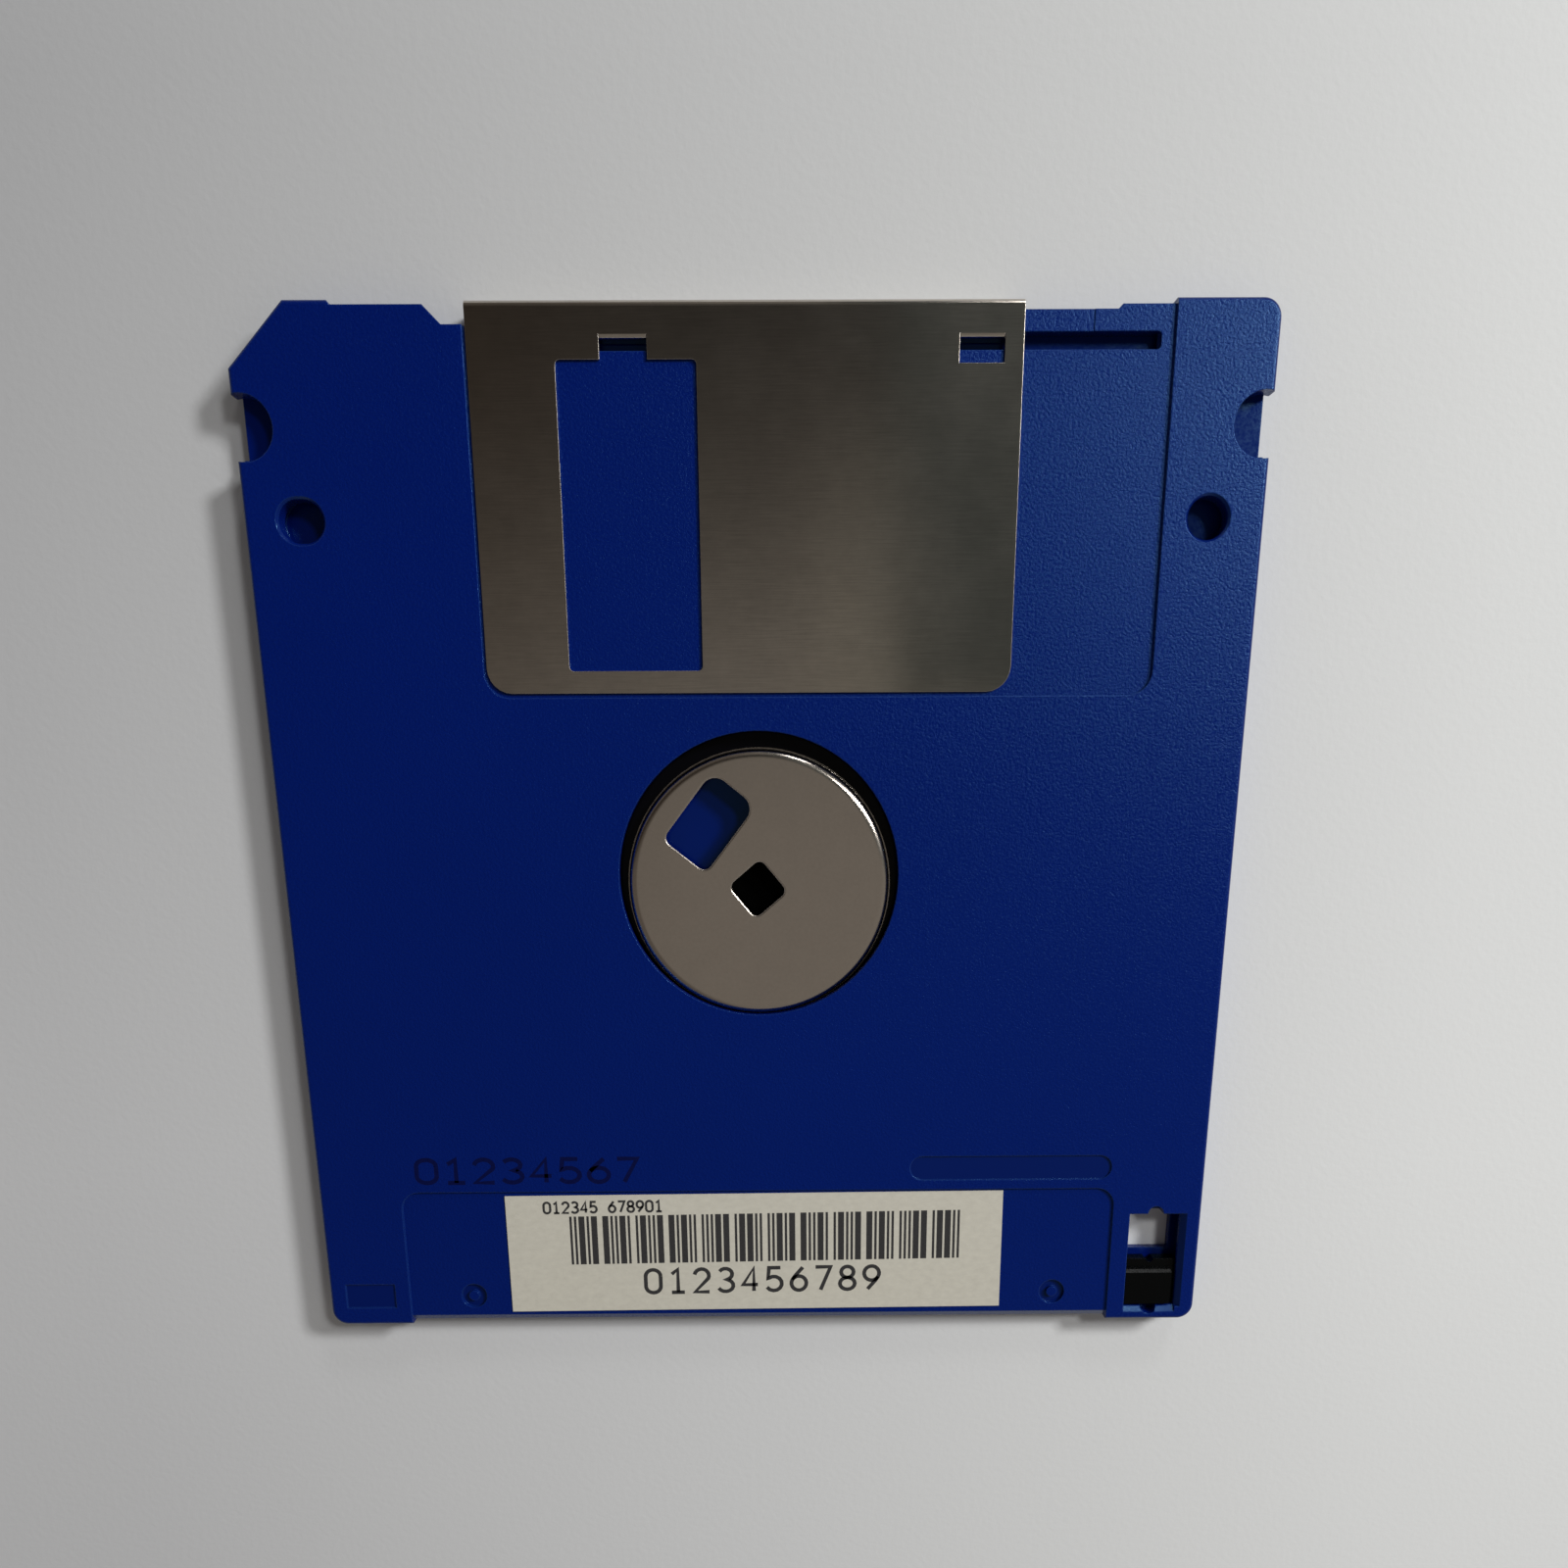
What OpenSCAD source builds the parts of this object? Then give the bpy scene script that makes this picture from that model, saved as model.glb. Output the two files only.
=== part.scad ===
// A 3.5 inch floppy disk, lying on its label side with the hub side up.
// X runs across the case, Y towards the shutter edge and Z up through the hub side.
// The origin is under the middle of the case, on the label side's outer face.

/* [Case] */
// Width of the case
case_w = 90; // [89:0.5:92]
// Length of the case, from the label edge to the shutter edge
case_l = 94; // [93.5:0.5:97]
// Thickness of the closed case
case_t = 3.3; // [3.2:0.05:3.6]
// Thickness of each shell's face
face_t = 0.9; // [0.8:0.05:0.95]
// Thickness of the wall around the corner pockets
rim_wall = 1.2; // [1:0.1:1.4]
// Least thickness of the case's side beside the disk cavity
side_wall = 1.2; // [1.1:0.05:1.4]
// Least distance from the disk cavity to the label edge
label_wall = 2.05; // [2:0.05:2.3]
// Least distance from the disk cavity to the shutter edge
front_strip = 4.35; // [4.3:0.05:4.5]
// Thickness of the curved rib around the disk cavity
rib_t = 0.8; // [0.6:0.1:1]
// Radius of the case's corners in plan
corner_r = 1.6; // [1:0.1:2]
// Length that the cut corner takes off each edge
cut_corner = 5.15; // [4:0.05:6]
// Rounding of the outer edges
edge_r = 0.4; // [0.2:0.05:0.5]
// Small break along the parting line
seam_break = 0.08; // [0.04:0.02:0.14]

/* [Front edge] */
// Width of the full-height block at the cut corner
left_block_w = 8.9; // [8.5:0.1:9.2]
// Width of the full-height block at the shutter's far end
right_block_w = 8.95; // [8.6:0.05:9.1]
// Drop from the blocks to the raised lands beside them
land_drop = 0.45; // [0.3:0.05:0.6]
// Length of the raised land beside the far block
right_land_w = 4.6; // [3:0.1:6]
// Drop from the blocks to the rail that the shutter runs on
rail_drop = 0.83; // [0.7:0.01:0.95]
// Drop from the blocks to the floor of the lever notch
lever_notch_d = 1.95; // [1.7:0.05:2.05]
// Room for the drive's lever ahead of the closed shutter
lever_room = 2; // [1.5:0.1:3]
// Length of the thin strip left of the tick on the rail, counted from the far block
tick_x_from_block = 6.95; // [6:0.05:9]
// Depth of the thin strip
tick_d = 0.06; // [0.03:0.01:0.1]

/* [Shutter] */
// Width of the shutter
shutter_w = 47.6; // [47:0.1:48]
// Height of the shutter's leaves
shutter_h = 31.6; // [31:0.1:32]
// Thickness of the shutter's sheet
sheet_t = 0.2; // [0.15:0.01:0.25]
// Gap between the open shutter and the block at its far end
shutter_room = 0.45; // [0.3:0.05:0.6]
// Travel of the shutter from closed to open
shutter_travel = 12.5; // [12:0.1:12.6]
// Radius of the leaves' free corners
shutter_corner_r = 2.2; // [1.5:0.1:2.5]
// Outer radius of the fold over the front edge
fold_r = 0.6; // [0.45:0.05:0.8]
// Depth of the leaves' outer faces below the case's faces
leaf_inset = 0.06; // [0.02:0.01:0.1]
// Running gap between a leaf and the case
leaf_gap = 0.05; // [0.03:0.01:0.08]
// Gap between the recess's left side and the closed shutter
shutter_end_gap = 0.25; // [0.15:0.05:0.4]
// Gap below the leaves in the recess
shutter_low_gap = 0.4; // [0.3:0.05:0.6]
// Width of the shutter's window
shutter_window_w = 12.1; // [11.6:0.1:12.5]
// Height of the shutter's window
shutter_window_h = 25.1; // [24:0.1:25.3]
// Distance from the shutter's left edge to its window
shutter_window_inset = 7.5; // [7.3:0.1:7.6]
// Distance from the leaves' free edge to the window
shutter_window_rise = 1.9; // [1.5:0.1:2.1]
// Width of the tab above the window
near_tab_w = 4.1; // [3:0.1:5]
// Distance from the shutter's left edge to the middle of that tab
near_tab_x = 13.35; // [12:0.05:14]
// Width of the second tab
far_tab_w = 3.9; // [3:0.1:4.2]
// Distance from the shutter's right edge to the middle of the second tab
far_tab_inset = 3.55; // [3.3:0.05:4]
// Height of the opening that the second tab is cut from
far_tab_cut = 2.26; // [2:0.02:2.6]
// Depth of both tabs below the leaf
tab_depth = 1.2; // [1:0.05:1.25]
// Distance from the front edge to the line where the tabs bend
tab_line = 2.7; // [2.65:0.05:2.85]
// Gap between the tabs and the front wall of their slot
tab_gap = 0.2; // [0.1:0.05:0.25]
// Width of the slot that the tabs run in
slot_w = 1.4; // [1.2:0.1:1.6]
// Length of the sloping floor at the slot's far end
slot_ramp = 1.6; // [1:0.1:2]

/* [Disk] */
// Thickness of the magnetic disk
media_t = 0.08; // [0.06:0.01:0.1]
// Room around the settled disk in its cavity
media_room = 0.15; // [0.1:0.05:0.3]
// Radius of the boss's rounded shoulder
boss_shoulder = 0.7; // [0.3:0.05:0.8]
// Diameter of the hub's flange
flange_d = 29.5; // [29:0.1:30]
// Width of the flange outside the hub's raised boss
flange_reach = 2.35; // [2.2:0.05:2.5]
// Thickness of the hub's sheet
hub_t = 0.3; // [0.25:0.01:0.35]
// Height from the middle of the magnetic disk to the hub's face
hub_rise = 1.36; // [1.3:0.01:1.4]
// Thickness of the ring of adhesive under the magnetic disk
adhesive_t = 0.1; // [0.05:0.01:0.12]
// Radial gap between the boss and the hole in the magnetic disk
media_hole_gap = 0.2; // [0.1:0.05:0.3]
// Width of the square spindle hole
spindle_square = 4; // [3.8:0.05:4.2]
// Corner radius of the spindle hole
spindle_corner_r = 0.7; // [0.4:0.05:0.9]
// Distance of the spindle hole's middle from the hub's middle
spindle_offset = 0.4; // [0.2:0.05:0.6]
// Direction from the hub's middle to the spindle hole's middle
spindle_offset_dir = 254; // [0:1:360]
// Direction of the spindle hole's flat sides
spindle_turn = 40; // [0:5:90]
// Length of the drive slot
drive_slot_l = 7.8; // [7:0.1:8.2]
// Width of the drive slot
drive_slot_w = 5.1; // [4.5:0.1:5.3]
// Corner radius at the drive slot's leading end
drive_slot_r = 1.4; // [1:0.1:2]
// Distance from the boss's side to the drive slot's middle
drive_slot_inset = 5; // [4.9:0.05:5.2]
// Direction from the hub's middle to the drive slot
drive_slot_dir = 129; // [0:1:360]
// Turn of the drive slot's long side from the tangent
drive_slot_skew = 13; // [0:1:16]

/* [Case openings] */
// Room around the centred hub in the case's hub hole
hub_room = 0.85; // [0.85:0.05:1]
// Distance that the hub and disk settle in the hub hole
hub_drop = 0.75; // [0:0.05:0.8]
// Width of the head windows
head_window_w = 8.8; // [8:0.1:8.8]
// Height of the head windows
head_window_h = 24.4; // [23:0.1:24.6]
// Distance from the recess's lower edge to the head windows
head_window_rise = 2.6; // [2:0.1:3]
// Distance from the case's sides to the locating holes' middle
locating_inset = 5; // [4.9:0.05:5.1]
// Distance from the front edge to the locating holes' middle
locating_from_front = 17.15; // [17:0.05:17.3]
// Diameter of the locating holes
locating_d = 3.6; // [3.5:0.05:3.7]
// Extra length of the left locating hole, across the case
locating_slot = 0.4; // [0.1:0.05:0.6]
// Edge break at the mouths of the locating holes
locating_break = 0.2; // [0.1:0.05:0.3]
// Extra width of the wells that carry on under the locating holes
well_room = 0.2; // [0.1:0.05:0.3]
// Radius of the half-round side notches
side_notch_r = 2.7; // [2.2:0.1:2.8]
// Depth of the side notches
side_notch_d = 3.4; // [2.8:0.1:3.5]
// Distance from the front edge to the side notches' middle
side_notch_y = 9.75; // [9.5:0.05:10]
// Depth of the straight steps under them in the label side's shell
side_step_d = 0.45; // [0.3:0.05:0.6]
// Length of those steps
side_step_l = 5.2; // [4.8:0.1:5.4]
// Distance that the steps lie nearer to the front edge than the notches
side_step_shift = 0.4; // [0:0.05:0.5]

/* [Write protection] */
// Width of the slider's window
protect_w = 5.35; // [5.2:0.05:5.5]
// Length of the slider's window
protect_l = 10.3; // [10.1:0.1:10.5]
// Distance from the case's side to the slider's window
protect_x = 2; // [1.8:0.05:2.1]
// Distance from the label edge to the slider's window
protect_y = 1.4; // [1.3:0.05:1.6]
// Width of the sensing hole under the window
sense_w = 4.85; // [4.4:0.05:4.9]
// Length of the sensing hole
sense_l = 4.6; // [4.4:0.05:5.1]
// Gap from the window's left side to the sensing hole
sense_x = 0.1; // [0.05:0.05:0.4]
// Travel of the slider
slider_travel = 4.8; // [4.6:0.05:4.85]
// Running gap around the slider
slider_gap = 0.15; // [0.1:0.05:0.25]
// Width of the slider's pad
pad_w = 4.75; // [4.4:0.05:5]
// Length of the slider's pad
pad_l = 3.8; // [3.6:0.1:4.2]
// Gap from the window's left side to the slider's pad
pad_x = 0.15; // [0.1:0.05:0.3]
// Bevel along the top of the slider's pad
pad_bevel = 0.3; // [0.15:0.05:0.5]
// Overlap that keeps the slider's base under the case
base_lap = 0.4; // [0.2:0.05:0.45]
// Radius of the nicks at the window's ends
nick_r = 0.8; // [0.5:0.1:1]
// Bevel of the window's label edge and outer side
window_bevel = 0.55; // [0.3:0.05:0.6]
// Depth of the pad's top below the case's face
pad_sink = 0.3; // [0.2:0.05:0.5]

/* [Recesses] */
// Width of the label recess
label_recess_w = 72.6; // [71:0.1:72.8]
// Place of the label recess's middle across the case
label_recess_x = -0.4; // [-0.5:0.1:0]
// Length of the label recess on the hub side
label_recess_hub = 14.5; // [14.3:0.1:15]
// Length of the label recess on the label side
label_recess_front = 56; // [52:1:57]
// Depth of the label recess
label_recess_d = 0.25; // [0.15:0.05:0.3]
// Corner radius of the label recess
label_recess_r = 1.8; // [0.8:0.1:2.4]
// Bevel of the bottom edge under the label recess
label_edge_bevel = 0.7; // [0.4:0.1:0.9]
// Depth of the small marks moulded in the case
mark_d = 0.18; // [0.1:0.02:0.25]
// Diameter of the round pin marks
pin_mark_d = 2.6; // [2:0.1:3]
// Width of the sunk ring of a pin mark
pin_mark_ring = 0.75; // [0.5:0.05:0.9]
// Distance between the pin marks
pin_mark_pitch = 60.2; // [58:0.1:62]
// Distance from the label edge to the pin marks
pin_mark_rise = 3.1; // [2.9:0.1:3.6]
// Depth of the pin marks below the label recess
pin_mark_depth = 0.35; // [0.2:0.05:0.4]

/* [Label] */
// Width of the paper label
label_w = 50.8; // [48:0.1:52]
// Height of the paper label
label_h = 12.7; // [11:0.1:13]
// Thickness of the paper label
label_t = 0.1; // [0.08:0.01:0.12]
// Turn of the label as it was stuck on
label_turn = 0.3; // [0:0.1:0.4]
// Place of the label's middle across the case
label_x = -0.8; // [-2:0.1:2]
// Gap from the label recess's upper edge to the label
label_gap = 0.35; // [0.3:0.05:0.6]

/* [Liners and spring] */
// Thickness of each liner
liner_t = 0.2; // [0.15:0.01:0.22]
// Distance from the liners' edge to the cavity's rib
liner_rib_gap = 1.2; // [0.9:0.1:1.6]
// Distance from the hub hole to the hole in the hub side's liner
hub_liner_gap = 1.5; // [1:0.1:2.5]
// Distance from the flange to the hole in the label side's liner
label_liner_gap = 1.25; // [1:0.05:2]
// Room beside the head window in the liners
liner_window_room = 0.7; // [0.5:0.1:1.5]
// Thickness of the lifting leaf
lifter_t = 0.12; // [0.1:0.01:0.14]
// Length of the lifting leaf, along the case
lifter_l = 9; // [7:0.5:10]
// Width of the lifting leaf, across the case
lifter_w = 8; // [6:0.5:8]
// Distance from the disk cavity's side to the lifting leaf
lifter_inset = 9.8; // [9.5:0.1:12]
// Distance from the hub hole's middle up to the lifting leaf
lifter_rise = 15.15; // [12:0.05:16]
// Depth of the lifting leaf's pocket
lifter_pocket_d = 0.3; // [0.25:0.01:0.4]
// Room around the lifting leaf in its pocket
lifter_room = 0.2; // [0.1:0.05:0.4]
// Diameter of the wear pad under the spindle
wear_pad_d = 8.4; // [7:0.1:9]
// Thickness of the wear pad
wear_pad_t = 0.25; // [0.15:0.01:0.27]
// Diameter of the spring's wire
wire_d = 0.3; // [0.25:0.01:0.34]
// Mean diameter of the spring's coil
coil_d = 3.4; // [3:0.1:3.8]
// Distance from the ends of the spring's legs down to the middle of its coil
coil_drop = 6.666; // [6:0.1:7]

/* [Hidden] */
// Reach of a cut past the face that it opens
past = 1;
$fn = 96;

half_t = case_t / 2;
side_x = case_w / 2;
front_y = case_l / 2;
pocket_t = half_t - face_t;
left_block_x = -side_x + left_block_w;
right_block_x = side_x - right_block_w;
rail_y = front_y - rail_drop;
land_y = front_y - land_drop;

shutter_left = right_block_x - shutter_room - shutter_travel - shutter_w;
recess_d = leaf_inset + sheet_t + leaf_gap;
shutter_low_y = front_y - shutter_h;
recess_low_y = shutter_low_y - shutter_low_gap;
recess_left = shutter_left - shutter_end_gap;
far_tab_x = shutter_w - far_tab_inset;
tab_y = front_y - tab_line;
slot_front_y = tab_y + tab_gap;
slot_end_gap = 0.6;
slot_run_out = 0.9;
slot_left = shutter_left + near_tab_x - near_tab_w / 2 - slot_end_gap;
slot_right = shutter_left + far_tab_x + far_tab_w / 2 + shutter_travel + slot_run_out;
slot_end_r = 0.35;
slot_floor_lap = 0.3;
block_slope = 0.3;
lever_notch_room = 0.8;

cavity_r = min(side_x - side_wall, (case_l - label_wall - front_strip) / 2);
hub_hole_y = label_wall + cavity_r - front_y;
hub_y = hub_hole_y - hub_drop;
boss_d = flange_d - 2 * flange_reach;
hub_hole_d = boss_d + 2 * hub_room;
media_d = 2 * (cavity_r - hub_drop - media_room);
liner_d = 2 * (cavity_r - liner_rib_gap);
drive_slot_at = boss_d / 2 - drive_slot_inset;
media_z = half_t;
hub_face_z = media_z + hub_rise;
media_low_z = media_z - media_t / 2;
flange_top_z = media_low_z - adhesive_t;
locating_x = side_x - locating_inset;
locating_y = front_y - locating_from_front;
notch_y = front_y - side_notch_y;

window_right = side_x - protect_x;
window_left = window_right - protect_w;
window_low = -front_y + protect_y;
window_top = window_low + protect_l;
base_low = window_low + slider_gap;
base_spare = 0.35;
base_l = protect_l - slider_travel - 2 * slider_gap - base_spare;
base_play = 0.1;
slider_low = base_low + 0.05;

// Solid block of the case behind the label edge
label_block_x = label_recess_w / 2 - 10.3;
label_block_l = 6;

// Shallow marks beside the label: how far they are from the case's side and label edge
small_mark = [1.7, 1.9, 5.1, 2.6];
long_mark = [9.55, 15.5, 20.45, 2.5];
long_mark_r = 1.24;

// Places of the lifting leaf and of the spring's legs
lifter_x = -cavity_r + lifter_inset;
lifter_y = hub_hole_y + lifter_rise;
leg_y = slot_front_y - 0.45;
spring_room = 6;
wire_room = 0.1;

// Thickness of the walls that close the corner pockets, and their rounding
locating_wall = 1;
web_t = 1.2;
slider_wall = 1.6;
slot_wall = 2.5;
pocket_r = 0.8;

// Pointer on the label side: its size and how far it is from the case's side and front edge
arrow_w = 3.2;
arrow_l = 3;
arrow_shift = 0.2;
arrow_from_front = 6;

// Posts that join the shells, placed from the case's sides and from the slider's window
post_r = 0.8;
post_gap = 0.05;
post_wall = 0.9;
POSTS = [[-side_x + 7.5, front_y - 3.8], [-side_x + 3.7, -front_y + 3.7],
    [window_left - 3.4, -front_y + 3.1], [side_x - 3.2, front_y - 3.6]];

function arc(x, y, r, a0, a1, n = 6) =
    r <= 0 ? [[x, y]] : [for (i = [0:n]) let (a = a0 + (a1 - a0) * i / n) [x + r * cos(a), y + r * sin(a)]];

// Outline of a box with its own radius at each corner, from the lower left one round
function box_points(x0, y0, x1, y1, r = [0, 0, 0, 0], n = 6) = concat(
    arc(x0 + r[0], y0 + r[0], r[0], 180, 270, n), arc(x1 - r[1], y0 + r[1], r[1], 270, 360, n),
    arc(x1 - r[2], y1 - r[2], r[2], 0, 90, n), arc(x0 + r[3], y1 - r[3], r[3], 90, 180, n));

module box_plan(x0, y0, x1, y1, r = [0, 0, 0, 0], n = 6) {
    polygon(box_points(x0, y0, x1, y1, r, n));
}

// Both shells are drawn with the parting face at z = 0 and the outer face at half_t
module on_hub_side() {
    translate([0, 0, half_t]) children();
}

module on_label_side() {
    translate([0, 0, half_t]) mirror([0, 0, 1]) children();
}

// Cuts a plan shape into the outer face, to a depth
module cut_face(depth) {
    translate([0, 0, half_t - depth]) linear_extrude(depth + past) children();
}

// Cuts a plan shape right through one shell
module cut_through() {
    translate([0, 0, -past]) linear_extrude(half_t + 2 * past) children();
}

// Half of a shell's section: straight side, broken parting edge and rounded outer edge
function rim_points(w) = concat([[0, 0], [w - seam_break, 0], [w, seam_break]],
    arc(w - edge_r, half_t - edge_r, edge_r, 0, 90, 5), [[0, half_t]]);

module full_rim(w) {
    points = rim_points(w);
    polygon(concat(points, [for (i = [len(points) - 2:-1:1]) [-points[i][0], points[i][1]]]));
}

module long_bar(w, l) {
    rotate([90, 0, 0]) translate([0, 0, -l / 2]) linear_extrude(l) full_rim(w);
}

// One half of the case as a plain plate: two crossed bars, round corners and one corner cut off
module plate() {
    corner_x = side_x - corner_r;
    corner_y = front_y - corner_r;
    cut_at = (side_x + front_y - cut_corner) / sqrt(2);
    intersection() {
        union() {
            long_bar(side_x, 2 * corner_y);
            rotate([0, 0, 90]) long_bar(front_y, 2 * corner_x);
            for (x = [-corner_x, corner_x], y = [-corner_y, corner_y])
                translate([x, y, 0]) rotate_extrude($fn = 48) polygon(rim_points(corner_r));
        }
        rotate([0, 0, 135]) translate([0, case_l, 0]) rotate([90, 0, 0]) linear_extrude(2 * case_l)
            polygon(concat([[-case_l, 0]], rim_points(cut_at), [[-case_l, half_t]]));
    }
}

// What the front edge loses: the lever notch, the shutter's rail and the steps to the blocks
module front_edge_plan() {
    notch_y0 = front_y - lever_notch_d;
    notch_left = shutter_left - lever_room;
    notch_right = shutter_left + shutter_travel + lever_notch_room;
    land_left = right_block_x - right_land_w;
    polygon([[left_block_x, front_y + past], [left_block_x, front_y], [left_block_x + block_slope, land_y],
        [notch_left - (land_y - notch_y0), land_y], [notch_left, notch_y0], [notch_right, notch_y0],
        [notch_right + (rail_y - notch_y0), rail_y], [land_left - (land_y - rail_y), rail_y],
        [land_left, land_y], [right_block_x, land_y], [right_block_x, front_y + past]]);
}

module shutter_recess_plan() {
    box_plan(recess_left, recess_low_y, right_block_x, front_y + past,
        [shutter_corner_r, shutter_corner_r, 0, 0]);
}

module head_window_plan() {
    low = recess_low_y + head_window_rise;
    r = 0.5;
    box_plan(-head_window_w / 2, low, head_window_w / 2, low + head_window_h, [r, r, r, r]);
}

// The slot that both tabs run in, with a sloping floor at its far end
module tab_slot() {
    low = slot_front_y - slot_w;
    cut_through() box_plan(slot_left, low, slot_right - slot_ramp, slot_front_y, [slot_end_r, 0, 0, slot_end_r]);
    intersection() {
        cut_through() box_plan(slot_right - slot_ramp - 0.01, low, slot_right, slot_front_y,
            [0, slot_end_r, slot_end_r, 0]);
        translate([0, slot_front_y + past, 0]) rotate([90, 0, 0]) linear_extrude(slot_w + 2 * past)
            polygon([[slot_right - slot_ramp - 0.01, -past], [slot_right - slot_ramp - 0.01, half_t + past],
                [slot_right + past, half_t + past], [slot_right + past, half_t - recess_d - face_t / 2],
                [slot_right, half_t - recess_d - face_t / 2], [slot_right - slot_ramp, 0]]);
    }
}

// The label recess, which runs over the bottom edge of the case
module label_recess(reach) {
    x0 = label_recess_x - label_recess_w / 2;
    x1 = label_recess_x + label_recess_w / 2;
    low = -front_y;
    r = label_recess_r;
    cut_face(label_recess_d) box_plan(x0, low - past, x1, low + reach, [0, 0, r, r]);
    cut_through() box_plan(x0, low - past, x1, low + label_recess_d);
    translate([x0, low, half_t]) rotate([90, 0, 90]) linear_extrude(x1 - x0)
        polygon([[-past, past], [-past, -label_recess_d - label_edge_bevel],
            [label_recess_d, -label_recess_d - label_edge_bevel],
            [label_recess_d + label_edge_bevel, -label_recess_d], [label_recess_d + label_edge_bevel, past]]);
}

// Plan of the pockets outside the ribs, in the four corners
module corner_pockets_plan() {
    x = side_x - rim_wall;
    y = front_y - rim_wall;
    difference() {
        intersection() {
            box_plan(-x, -y, x, slot_front_y, [for (i = [0:3]) pocket_r]);
            rotate([0, 0, 135]) translate([-2 * case_l, -case_l])
                square([2 * case_l + (side_x + front_y - cut_corner) / sqrt(2) - rim_wall, 2 * case_l]);
        }
        translate([0, hub_hole_y]) circle(cavity_r + rib_t);
        for (s = [-1, 1]) {
            translate([s * locating_x, locating_y]) circle(locating_d / 2 + locating_wall);
            translate([s * (side_x - side_notch_d + side_notch_r), notch_y]) circle(side_notch_r + rim_wall);
            translate([s * side_x, locating_y]) square([2 * locating_inset, web_t], center = true);
        }
        for (post = POSTS) translate(post) circle(post_r + post_wall);
        box_plan(-side_x, slot_front_y - slot_w - slot_wall - 1, slot_left - slot_wall, front_y);
        box_plan(window_left - base_lap - slider_wall, -front_y, side_x, window_top + slider_wall);
        box_plan(-label_block_x, -front_y, label_block_x, -front_y + label_block_l);
    }
}

// The slider's pocket between the shells
module slider_pocket_plan() {
    box_plan(window_left - base_lap - slider_gap, window_low, window_right + base_lap + slider_gap / 2,
        window_top, [0.3, 0.3, 0.3, 0.3]);
}

module inner_pockets() {
    translate([0, 0, -past]) linear_extrude(pocket_t + past) {
        translate([0, hub_hole_y]) circle(cavity_r, $fn = 180);
        corner_pockets_plan();
        slider_pocket_plan();
    }
}

module spring_channel() {
    translate([0, 0, -past]) linear_extrude(pocket_t + past)
        box_plan(shutter_left + far_tab_x, slot_front_y - slot_w - 2, slot_right + spring_room, slot_front_y);
}

// Bar of the label side's shell that closes the tab slot from below
module slot_floor() {
    low = slot_front_y - slot_w - slot_floor_lap;
    linear_extrude(pocket_t + slot_floor_lap) box_plan(slot_left - slot_floor_lap, low,
        slot_right + slot_floor_lap, slot_front_y + slot_floor_lap);
}

module locating_holes() {
    for (s = [0, 1]) {
        x = (2 * s - 1) * locating_x;
        for (dx = s == 0 ? [-locating_slot / 2, locating_slot / 2] : [0])
            translate([x + dx, locating_y, 0]) {
                translate([0, 0, -past]) cylinder(h = half_t + 2 * past, d = locating_d);
                translate([0, 0, half_t - locating_break])
                    cylinder(h = locating_break + 0.01, d1 = locating_d, d2 = locating_d + 2 * locating_break);
            }
    }
    cut_through() box_plan(-locating_x - locating_slot / 2, locating_y - locating_d / 2,
        -locating_x + locating_slot / 2, locating_y + locating_d / 2);
}

// Blind wells in the label side's shell, under the locating holes
module locating_wells() {
    for (s = [-1, 1]) translate([s * locating_x, locating_y, -past])
        cylinder(h = pocket_t + past, d = locating_d + locating_slot + 2 * well_room);
}

module side_notches() {
    for (s = [-1, 1])
        translate([s * (side_x - side_notch_d + side_notch_r), notch_y, -past])
            cylinder(h = half_t + 2 * past, r = side_notch_r);
}

// Straight steps in the label side's shell, under the notches
module side_steps() {
    for (s = [-1, 1]) cut_through() translate([s * side_x, notch_y + side_step_shift])
        square([2 * side_step_d, side_step_l], center = true);
}

// The slider's window: bevelled at its label edge and outer side, nicked at both ends
module slider_window() {
    middle = (window_left + window_right) / 2;
    bevel = window_bevel;
    cut_through() {
        box_plan(window_left, window_low, window_right, window_top);
        for (y = [window_low, window_top]) translate([middle, y]) circle(nick_r, $fn = 32);
    }
    translate([window_left, window_low, half_t]) rotate([90, 0, 90]) linear_extrude(protect_w)
        polygon([[0.01, -bevel], [0.01, past], [-bevel, past], [-bevel, 0]]);
    translate([window_right, window_top, half_t]) rotate([90, 0, 0]) linear_extrude(protect_l)
        polygon([[-0.01, -bevel], [-0.01, past], [bevel, past], [bevel, 0]]);
}

module small_marks() {
    cut_face(mark_d) {
        translate([-side_x + small_mark[0], -front_y + small_mark[1]]) square([small_mark[2], small_mark[3]]);
        translate([side_x - long_mark[0] - long_mark[2], -front_y + long_mark[1]])
            box_plan(0, 0, long_mark[2], long_mark[3], [for (i = [0:3]) long_mark_r]);
    }
    for (s = [-1, 1]) translate([s * pin_mark_pitch / 2, -front_y + pin_mark_rise, 0])
        cut_face(label_recess_d + pin_mark_depth) difference() {
            circle(d = pin_mark_d, $fn = 36);
            circle(d = pin_mark_d - 2 * pin_mark_ring, $fn = 24);
        }
}

module post_sockets() {
    for (post = POSTS) translate([post[0], post[1], -past])
        cylinder(h = pocket_t + past, r = post_r + post_gap, $fn = 32);
}

module hub_side_shell() {
    color("#1b2f86") on_hub_side() difference() {
        plate();
        cut_through() front_edge_plan();
        cut_face(recess_d) shutter_recess_plan();
        cut_through() head_window_plan();
        translate([0, hub_hole_y, -past]) cylinder(h = half_t + 2 * past, d = hub_hole_d, $fn = 180);
        inner_pockets();
        spring_channel();
        tab_slot();
        locating_holes();
        side_notches();
        slider_window();
        label_recess(label_recess_hub);
        small_marks();
        post_sockets();
        cut_face(recess_d + tick_d) box_plan(slot_left, slot_front_y, right_block_x - tick_x_from_block, front_y);
    }
}

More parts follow.
